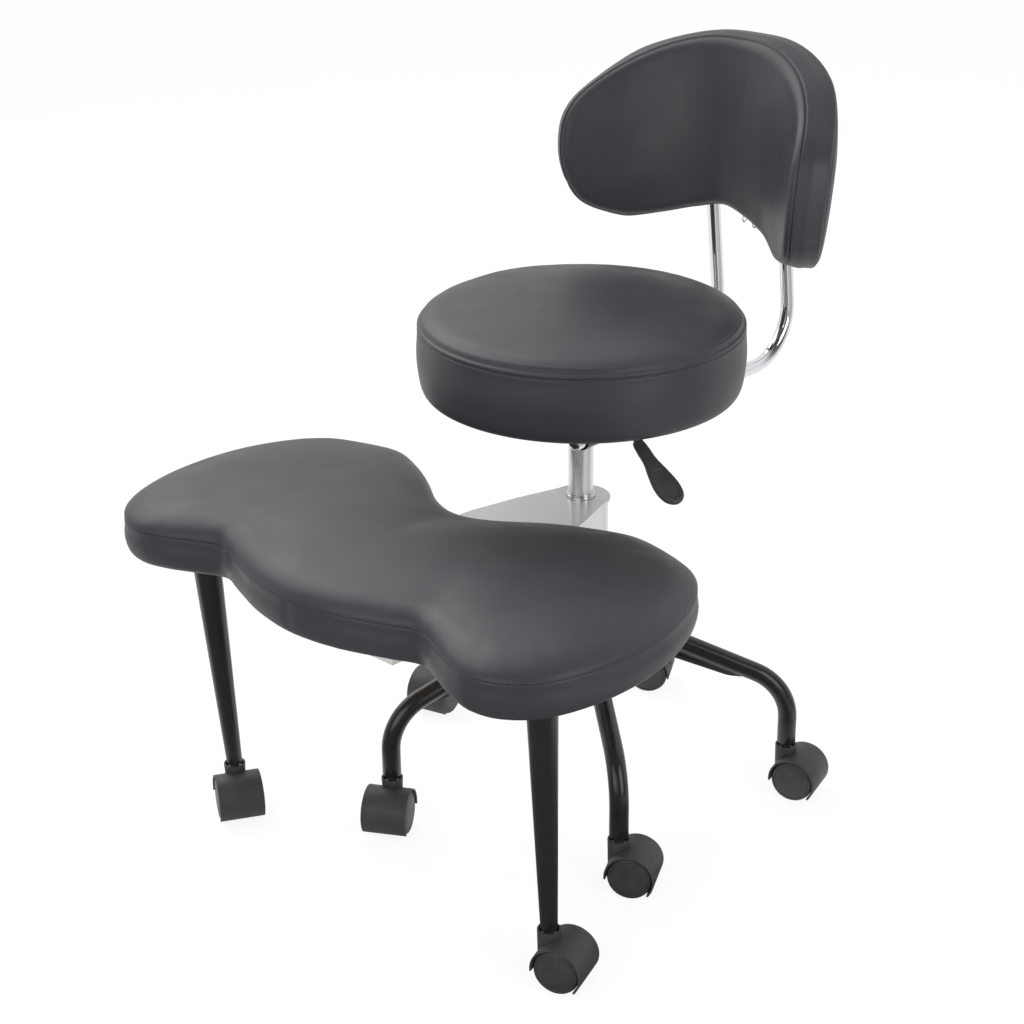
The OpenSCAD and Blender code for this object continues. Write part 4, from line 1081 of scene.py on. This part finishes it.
# %% Sizes of the hub and the gas lift
hub_bore_r = 25.05
gas_r = 14.0
gas_bore_r = 12.0
gas_end_l = 8.0
rod_hole_r = 5.06
pin_hole_r = 3.06
collar_r = 14.3


def heights(node):
    """The foot and the top of a CAD node, in millimetres."""
    low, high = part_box(node)
    return low.z / MM, high.z / MM


# %% Turn the hub, the gas cylinder and the collar
hub_low, hub_high = heights("base_hub")
hub_section = [(hub_bore_r, hub_low), (hub_r, hub_low), (hub_r, hub_high), (hub_bore_r, hub_high)]
made_for("base_hub", turned(eased(hub_section, 0.9), 96))

gas_foot, gas_top = heights("gas_cylinder")
gas_section = [
    (rod_hole_r, gas_foot), (gas_r, gas_foot), (gas_r, gas_top), (pin_hole_r, gas_top),
    (pin_hole_r, gas_top - gas_end_l), (gas_bore_r, gas_top - gas_end_l),
    (gas_bore_r, gas_foot + gas_end_l), (rod_hole_r, gas_foot + gas_end_l)]
made_for("gas_cylinder", turned(eased(gas_section, 0.6), 96), material=satin_chrome)

arm_top = heights("arm_frame")[1]
collar_low, collar_high = arm_top - 2, arm_top + 6
collar_section = [
    (collar_r, collar_low), (collar_r + 1.3, collar_low), (collar_r + 1.3, collar_high - 2.4),
    (collar_r + 0.8, collar_high - 2.1), (collar_r + 1.1, collar_high - 1.8),
    (collar_r + 1.1, collar_high), (collar_r, collar_high)]
collar = new_piece("cylinder_collar", *turned(eased(collar_section, 0.35), 96), chrome, 40)
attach(collar, body_of_node["arm_frame"])
print("the gas cylinder is", round(gas_top - gas_foot, 1), "mm long")

# %% [markdown]
# ## Casters
#
# A hooded twin-wheel caster has a drum-shaped hood over two wheels, with a web between them
# and a cup for the stem at its front. The hood is a section, a shell with the web's root
# inside, swept round the axle from its front lip over the top to its rear lip. Its web is a
# slab with a round top. The cup is a turned sleeve whose foot is scribed to the drum. Boolean
# cuts would give the same hood, but with torn shading along each cut.

# %% Sizes of the casters
wheel_r = 25.0
wheel_w = 17.0
well_r = 25.8
hood_r = 28.0
hood_half_w = 26.0
web_half_w = 7.2
caster_trail = 17.0
front_lip = math.radians(186)
rear_lip = math.radians(-40)
cup_top_z = 60.3
cup_r = 12.4
stem_hole_r = 5.6
stem_hole_l = 10.0
axle_hole_r = 3.06
wheel_bore_l = 14.3
wheel_gap = 0.3


# %% Shape the hood, the cup and the wheel
def hood_form():
    """A hood with its web and cup, about the middle of its axle."""
    section = eased([
        (-hood_half_w, well_r), (-hood_half_w, hood_r), (hood_half_w, hood_r), (hood_half_w, well_r),
        (web_half_w, well_r), (web_half_w, well_r - 3), (-web_half_w, well_r - 3),
        (-web_half_w, well_r)], 0.8)
    lip = ((0.022, 0.7), (0.012, 0.25))
    stations = [(rear_lip - past, inset) for past, inset in lip]
    stations += [(a, 0) for a in np.linspace(rear_lip, front_lip, 72)]
    stations += [(front_lip + past, inset) for past, inset in reversed(lip)]
    rings = []
    for angle, inset in stations:
        ring = moved_in(section, inset)
        rings.append(np.column_stack([
            ring[:, 1] * math.cos(angle), ring[:, 0], wheel_r + ring[:, 1] * math.sin(angle)]))
    shell = capped(rings)
    arc = np.linspace(front_lip, rear_lip, 40)
    web_outline = (well_r - 1) * np.column_stack([np.cos(arc), np.sin(arc)])
    web = slab(web_outline, -web_half_w, web_half_w, 0.6)
    return joined(shell, stood(web, (1, 0, 0), (0, 0, 1), (0, -1, 0), (0, 0, wheel_r)), cup_form())


def cup_form():
    """The cup for the stem. Its foot follows the drum."""
    floor_z = cup_top_z - stem_hole_l
    profile = eased([
        (cup_r - 0.7, 0), (cup_r, cup_top_z), (cup_r - 2.2, cup_top_z), (cup_r - 2.3, floor_z),
        (stem_hole_r, floor_z), (stem_hole_r, 0)], 0.7)
    points, faces = turned(profile, 56)
    points[:, 0] -= caster_trail
    on_drum = wheel_r + np.sqrt(np.maximum((hood_r - 1) ** 2 - points[:, 0] ** 2, 0))
    low = points[:, 2] < 1
    points[low, 2] = on_drum[low]
    return points, faces


def wheel_form():
    """A wheel about the Z axis, with its outer face up: tread, grooved rim and a domed disc."""
    tread, face = wheel_r, wheel_w
    return turned(eased([
        (0, wheel_bore_l), (axle_hole_r, wheel_bore_l), (axle_hole_r, 0), (tread - 1.2, 0), (tread, 1.4),
        (tread, face - 3.2), (tread - 1.0, face - 0.9), (tread - 2.6, face + 0.1),
        (tread - 3.7, face + 0.15), (tread - 4.0, face - 0.4), (tread - 4.4, face - 0.4),
        (tread - 4.8, face + 0.25), (12, face + 0.7), (4, face + 0.8), (0, face + 0.8)],
        0.4, closed=False), 72, ring=False)


# %% Make the seven casters
one_hood, one_wheel = hood_form(), wheel_form()
for k in range(1, 8):
    axle = (np.array(joint_of[f"caster_{k}_left_roll"]["pos_m"]) - column) / MM
    back = axle - stem_of[k]
    back[2] = 0
    back = unit(back)
    across = np.array([-back[1], back[0], 0])
    made_for(f"caster_{k}_hood", stood(one_hood, back, across, (0, 0, 1), (axle[0], axle[1], 0)))
    for side, word in ((1, "left"), (-1, "right")):
        out = side * across
        wheel = stood(one_wheel, back, np.cross(out, back), out, axle + out * (web_half_w + wheel_gap))
        made_for(f"caster_{k}_wheel_{word}", wheel)
print("seven casters are made, with two wheels each")

# %% [markdown]
# ## The back's tubes
#
# Two chrome tubes run under the seat, bend up and carry the back. Each ends in a low dome,
# and a flat plate, welded on along both sides, bolts it to the board in the back. The tube
# is a ring of points swept along a bent line, as the leg is. The plate's place follows the
# back's rear face, so it turns and leans with it.

# %% Sizes of the back's tubes and plates
back_tube_r = 8.0
back_tube_bend_r = 60.0
back_tube_rise = math.radians(7)
back_knee_z = back_top_z - back_h * 0.857
back_tube_rest = 108.0
back_rear_t = back_side_t + back_rear_crown
plate_x = 52.0
plate_z = back_knee_z + 56
plate_t = 3.0
plate_gap = 0.3
plate_half_w = 24.0
plate_half_h = 42.0
plate_weld_half_l = 34.0


def back_face_y(x, depth, z):
    """How far behind the column the back's face lies, at a depth behind its front seam."""
    return (back_bend_y + math.sqrt((back_bend_r + depth) ** 2 - x**2)
            + math.tan(back_lean) * (z - back_lean_z))


# %% Bend the tube
tube_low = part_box("back_tube_left")[0]
tube_z = tube_low.z / MM + back_tube_r
tube_start_y = tube_low.y / MM - column[1] / MM
knee_y = back_face_y(plate_x, back_rear_t, back_knee_z) + plate_t + back_tube_r - 1
corner_y = knee_y + (back_knee_z - tube_z) * math.tan(back_tube_rise)
rest_y = knee_y + back_tube_rest * math.tan(back_lean)
tube_corners = [
    (tube_start_y, tube_z), (corner_y, tube_z), (knee_y, back_knee_z),
    (rest_y, back_knee_z + back_tube_rest)]
domed = [(0.8, 7.8), (1.5, 7.2), (2.0, 6.0), (2.2, 3.5)]
tube_form = tube(bent_line(tube_corners, back_tube_bend_r, 3), back_tube_r, 48, domed, domed)
print("the tubes stand", round(knee_y), "mm behind the column at the knee")

# %% Make both tubes with their plates and welds
plate_outline = eased([
    (-plate_half_w, -plate_half_h), (-plate_half_w, plate_half_h),
    (plate_half_w, plate_half_h), (plate_half_w, -plate_half_h)], 8, 7)
plate = slab(plate_outline, -plate_t - plate_gap, -plate_gap, 0.7)
plate_turn = math.asin(plate_x / (back_bend_r + back_rear_t))
for side, node in ((1, "back_tube_left"), (-1, "back_tube_right")):
    turn = -side * plate_turn
    across = np.array([math.cos(turn), math.sin(turn), 0])
    behind = np.array([
        -math.sin(turn) * math.cos(back_lean), math.cos(turn) * math.cos(back_lean), -math.sin(back_lean)])
    place = (side * plate_x, back_face_y(plate_x, back_rear_t, plate_z), plate_z)
    parts = [
        stood(tube_form, (0, 1, 0), (-1, 0, 0), (0, 0, 1), (side * plate_x, 0, 0)),
        stood(plate, across, np.cross(across, behind), -behind, place)]
    for edge in (-5.6, 5.6):
        parts.append(bead([
            (side * plate_x + edge, knee_y + (z - back_knee_z) * math.tan(back_lean) - 6.2, z)
            for z in plate_z + np.arange(-plate_weld_half_l, plate_weld_half_l + 0.1, 0.8)], 1.7))
    made_for(node, joined(*parts))
    print(node, "has", len(parts) - 2, "welds")

# %% [markdown]
# ## The lever
#
# The height lever is a bent rod in a ribbed black sheath, with a moulded paddle on its end.
# The paddle has a thick rolled rim round a shallow thumb dish, and a squarish neck. It is
# made of rows drawn in to a spine, as the covers are, because a mould gives the same slow
# curves as a pulled cloth does.

# %% Sizes of the lever
lever_turn = -18
lever_slope = math.radians(27.4)
lever_z = 483.0
lever_bend_reach = 88.0
sheath_r = 3.25
sheath_start = 42.0
rib_pitch = 2.4
rib_depth = 0.32
paddle_start = 35.0
paddle_l = 88.0
paddle_half_w = 15.0
paddle_spine_share = 0.8
dish_depth = 1.7
half_shares = [
    (0, 0.36), (0.12, 0.50), (0.30, 0.54), (0.50, 0.80), (0.70, 1), (0.86, 0.93), (0.96, 0.60), (1, 0)]

# %% Draw the paddle's outline, which starts at the middle of one side
side_line = np.array([(x * paddle_l, y * paddle_half_w) for x, y in half_shares])
steps = 6
whole = smooth_outline(np.concatenate([side_line, (side_line * [1, -1])[-2::-1]]), steps)
half_count = steps * (len(side_line) - 1)
upper, lower = whole[:half_count], whole[half_count:2 * half_count]
paddle_outline = np.concatenate([upper[half_count // 2:], lower, upper[:half_count // 2]])
paddle_outline[3 * len(paddle_outline) // 4] = (-1, 0)
print("the paddle's outline has", len(paddle_outline), "points")


# %% Mould the paddle
def paddle_shape(inset, draw, z):
    """A row of the paddle. Past its neck the top sinks into a shallow dish."""
    flat = drawn_in(moved_in(paddle_outline, inset), paddle_spine_share, draw)
    sunk = dish_depth * eases(flat[:, 0], 34, 50) * min(draw / 0.3, 1) ** 1.5 if z > 0 else 0
    return np.column_stack([flat, np.full(len(flat), z) - sunk])


paddle_rows = [(2.6, t, -3.4) for t in (0.96, 0.6, 0.25)]
paddle_rows += [
    (2.6, 0, -3.3), (1.3, 0, -3.0), (0.4, 0, -2.2), (0, 0, -1.0), (0, 0, 1.0), (0.4, 0, 2.3),
    (1.2, 0, 3.2), (2.2, 0, 3.6), (2.2, 0.10, 3.7)]
paddle_rows += [(2.2, t, 3.7) for t in np.linspace(0.2, 0.96, 9)]
blade = spined([paddle_shape(*row) for row in paddle_rows], closed_start=True)

turn = whole_turn(32)
square = np.column_stack([np.sign(f(turn)) * np.abs(f(turn)) ** 0.42 for f in (np.cos, np.sin)])
neck_stations = (
    (-3, 3.9, 3.9), (-2.6, 4.6, 4.6), (-1.8, 5.0, 5.0), (8, 5.3, 5.1), (20, 5.5, 4.8),
    (32, 5.2, 4.4), (40, 4.6, 3.9), (43, 3.6, 3.2), (43.6, 2.8, 2.5))
neck = capped([
    np.column_stack([np.full(len(square), x), square * [half_w, half_h]])
    for x, half_w, half_h in neck_stations])

down = np.array([math.cos(lever_slope), 0, -math.sin(lever_slope)])
up = np.array([math.sin(lever_slope), 0, math.cos(lever_slope)])
sideways = np.array([0, 1.0, 0])
bend = np.array([lever_bend_reach, 0, lever_z])
paddle_form = stood(joined(blade, neck), down, sideways, up, bend + paddle_start * down)
made_for("lever_paddle", about_column(paddle_form, lever_turn))
reach = lever_bend_reach + (paddle_start + paddle_l) * math.cos(lever_slope)
print("the lever reaches", round(reach), "mm from the column")


# %% Make the ribbed sheath
def ribbed(length):
    """A ribbed rod along Z, closed at both ends."""
    profile = [(0, 0), (sheath_r - 0.5, 0)]
    for k in range(int(length / rib_pitch)):
        for share, low in ((0.08, 0.0), (0.5, 0.0), (0.62, rib_depth), (0.94, rib_depth)):
            profile.append((sheath_r - low, (k + share) * rib_pitch))
    profile += [(sheath_r - 0.5, length), (0, length)]
    return turned(profile, 32, ring=False)


inner_length = lever_bend_reach - sheath_start
inner = stood(ribbed(inner_length), sideways, (0, 0, 1), (1, 0, 0), (sheath_start, 0, lever_z))
outer = stood(ribbed(paddle_start + 4), sideways, up, down, bend)
elbow_angle = np.linspace(-math.pi / 2, math.pi / 2, 13)
elbow = turned(sheath_r * np.column_stack([np.cos(elbow_angle), np.sin(elbow_angle)]), 32, ring=False)
sheath_form = joined(inner, outer, (elbow[0] + bend, elbow[1]))
sheath = new_piece("lever_sheath", *about_column(sheath_form, lever_turn), moulded, 50)
join_frame(sheath, "lever_rod")
print("the sheath has", len(sheath.data.polygons), "faces")

# %% [markdown]
# ## Pressed and welded parts from the frame
#
# The arm, the seat's pan, the clamps and the footstool's legs are right in shape, but their
# edges are sharp as cut. A copy of each gets the small round that a press or a coat of paint
# leaves: flat faces are merged first, so that the bevel follows only true edges. A bevel in
# the shader would catch the light too, but it isn't there in the mesh. Weighted normals keep
# the large flat faces from shading unevenly between the rounds.

# %% Round the edges of pressed parts
round_widths = {
    "arm_frame": 1.0, "stool_leg_left": 0.8, "stool_leg_right": 0.8, "seat_mount": 0.7,
    "tube_clamps": 0.7}
rounded_from = math.radians(35)


def softened(node, width):
    """A copy of a CAD node with its edges rounded to a width in millimetres."""
    mesh = nodes[node].data.copy()
    work = bmesh.new()
    work.from_mesh(mesh)
    bmesh.ops.remove_doubles(work, verts=work.verts, dist=0.00001)
    bmesh.ops.dissolve_limit(
        work, angle_limit=math.radians(1.0), verts=work.verts, edges=work.edges)
    edges = [e for e in work.edges if len(e.link_faces) == 2 and e.calc_face_angle(0) > rounded_from]
    bmesh.ops.bevel(
        work, geom=edges, offset=width * MM, segments=2, profile=0.6, affect="EDGES", clamp_overlap=True)
    work.to_mesh(mesh)
    work.free()
    mesh.materials.clear()
    mesh.materials.append(finishes[slot_of[node]])
    mesh.shade_smooth()
    mesh.set_sharp_from_angle(angle=math.radians(32))
    piece = bpy.data.objects.new(node + "_made", mesh)
    scene.collection.objects.link(piece)
    flat_faces = piece.modifiers.new("flat_faces", "WEIGHTED_NORMAL")
    flat_faces.keep_sharp = True
    apply_modifiers(piece)
    return join_frame(piece, node, [node])


for node, width in round_widths.items():
    piece = softened(node, width)
    print(piece.name, "has", len(piece.data.polygons), "faces")

# %% [markdown]
# ## Finishes on the CAD nodes
#
# Screws, stems, axles, boards and bushes are seen only in gaps or from below, and their CAD
# shape is true. They take the finish of their slot, as do the nodes that are replaced.

# %% Give every CAD node its finish
for node, piece in nodes.items():
    piece.data.materials.clear()
    piece.data.materials.append(finishes[slot_of[node]])
    piece.data.shade_smooth()
    piece.data.set_sharp_from_angle(angle=math.radians(30))
print("finished", len(nodes), "CAD nodes")

# %% [markdown]
# ## The studio
#
# The photograph is a catalogue shot on pure white. The camera sees the floor and the world
# as white, while the lamps and a plainer world light the chair. Chrome in a wholly white
# room would vanish, so reflections also find a dark zone on the floor and in the world: the
# dark part of the studio, in front of the chair. A light tent of real cards would do it too,
# but would show in other views.

# %% Helpers for the studio's shaders
TOWARDS_CAMERA = (0.659, -0.752, 0.0)
ACROSS_VIEW = (0.752, 0.659, 0.0)


def joined_by(tree, operation, first, second):
    """A Math node on two sources, or on a source and a number."""
    math_node = tree.nodes.new("ShaderNodeMath")
    math_node.operation = operation
    for socket, source in zip(math_node.inputs, (first, second)):
        if isinstance(source, float):
            socket.default_value = source
        else:
            tree.links.new(source, socket)
    return math_node.outputs[0]


def along(tree, coordinate, direction):
    """How far a place lies along a direction."""
    coordinates = tree.nodes.new("ShaderNodeTexCoord")
    dot = tree.nodes.new("ShaderNodeVectorMath")
    dot.operation = "DOT_PRODUCT"
    dot.inputs[1].default_value = direction
    tree.links.new(coordinates.outputs[coordinate], dot.inputs[0])
    return dot.outputs["Value"]


def fade(tree, source, start, end, low, high):
    """A change from the low value at the start to the high value at the end, with soft ends."""
    return ranged(tree, source, start, end, low, high, "SMOOTHSTEP")


def mixed(tree, share, first, second, output_kind):
    """Ends the tree in a mix of two shaders."""
    mix = tree.nodes.new("ShaderNodeMixShader")
    output = tree.nodes.new(output_kind)
    for socket, source in zip(mix.inputs, (share, first, second)):
        tree.links.new(source, socket)
    tree.links.new(mix.outputs[0], output.inputs[0])


def seen_rays(tree):
    """The camera's rays alone, and these with reflections and what is seen through glass."""
    rays = tree.nodes.new("ShaderNodeLightPath").outputs
    mirrored = joined_by(tree, "MAXIMUM", rays["Is Glossy Ray"], rays["Is Transmission Ray"])
    return rays["Is Camera Ray"], joined_by(tree, "MAXIMUM", rays["Is Camera Ray"], mirrored)


# %% Build the floor
floor_half = 12.0
floor_glow = 1.12
glow_share = 0.78
corners = [
    (x * floor_half, y * floor_half, 0) for x, y in ((-1, -1), (1, -1), (1, 1), (-1, 1))]
floor_mesh = bpy.data.meshes.new("floor")
floor_mesh.from_pydata(corners, [], [(0, 1, 2, 3)])
floor = bpy.data.objects.new("floor", floor_mesh)
scene.collection.objects.link(floor)
floor_paint = bpy.data.materials.new("studio_floor")
floor_paint.use_nodes = True
tree = floor_paint.node_tree
tree.nodes.clear()
matt = tree.nodes.new("ShaderNodeBsdfDiffuse")
matt.inputs["Color"].default_value = (0.8, 0.8, 0.8, 1)
glow = tree.nodes.new("ShaderNodeEmission")
camera_ray, seen = seen_rays(tree)
ahead = along(tree, "Object", TOWARDS_CAMERA)
aside = along(tree, "Object", ACROSS_VIEW)
dark_ahead = fade(tree, ahead, 0.0, 0.2, 0.0, 0.94)
dark = joined_by(tree, "MULTIPLY", dark_ahead, fade(tree, aside, 0.35, 0.6, 1.0, 0.0))
grey_ahead = fade(tree, ahead, -0.5, 0.1, 0.0, 0.6)
grey = joined_by(tree, "MULTIPLY", grey_ahead, fade(tree, aside, 0.5, 0.9, 0.0, 1.0))
mirrored = joined_by(tree, "SUBTRACT", 1.0, joined_by(tree, "ADD", dark, grey))
to_camera = joined_by(tree, "MULTIPLY", camera_ray, floor_glow)
tree.links.new(joined_by(tree, "MAXIMUM", to_camera, mirrored), glow.inputs["Strength"])
share = joined_by(tree, "MULTIPLY", seen, glow_share)
mixed(tree, share, matt.outputs[0], glow.outputs[0], "ShaderNodeOutputMaterial")
floor.data.materials.append(floor_paint)
print("the floor is", 2 * floor_half, "m square")

# %% Build the world
world_strength = 0.64
world = bpy.data.worlds.new("studio")
scene.world = world
world.use_nodes = True
tree = world.node_tree
tree.nodes.clear()
light = tree.nodes.new("ShaderNodeBackground")
light.inputs["Strength"].default_value = world_strength
shown = tree.nodes.new("ShaderNodeBackground")
for background in (light, shown):
    background.inputs["Color"].default_value = (1, 1, 1, 1)
camera_ray, seen = seen_rays(tree)
mirrored = fade(tree, along(tree, "Generated", TOWARDS_CAMERA), -0.3, 0.45, 0.9, 0.1)
tree.links.new(joined_by(tree, "MAXIMUM", camera_ray, mirrored), shown.inputs["Strength"])
mixed(tree, seen, light.outputs[0], shown.outputs[0], "ShaderNodeOutputWorld")
print("the world lights the chair at", world_strength)

# %% [markdown]
# ## The lamps
#
# The large key lamp stands high on the left and gives the pads their sheen. A weaker one in
# front lifts the sides that face the camera, and a slim one on the right draws the edges of
# the back. Their size makes them soft: a small lamp would burn a hard spot into each pad.

# %% Light the studio
lamps = {
    "key_light": ((-1650, -50, 2200), (0, 0, 500), (2.2, 2.0), 31),
    "front_light": ((400, -2300, 1100), (0, 0, 500), (2.0, 1.4), 16),
    "side_light": ((1900, -250, 1100), (0, 0, 600), (1.0, 1.6), 12),
}
for name, (place, aim, size, power) in lamps.items():
    lamp = bpy.data.lights.new(name, "AREA")
    lamp.shape = "RECTANGLE"
    lamp.size, lamp.size_y = size
    lamp.energy = power
    place, aim = Vector(from_column(place)), Vector(from_column(aim))
    lamp_object = bpy.data.objects.new(name, lamp)
    lamp_object.location = place
    lamp_object.rotation_euler = (aim - place).to_track_quat("-Z", "Y").to_euler()
    scene.collection.objects.link(lamp_object)
    print(name, "shines at", power, "W")
scene.view_settings.view_transform = "Standard"
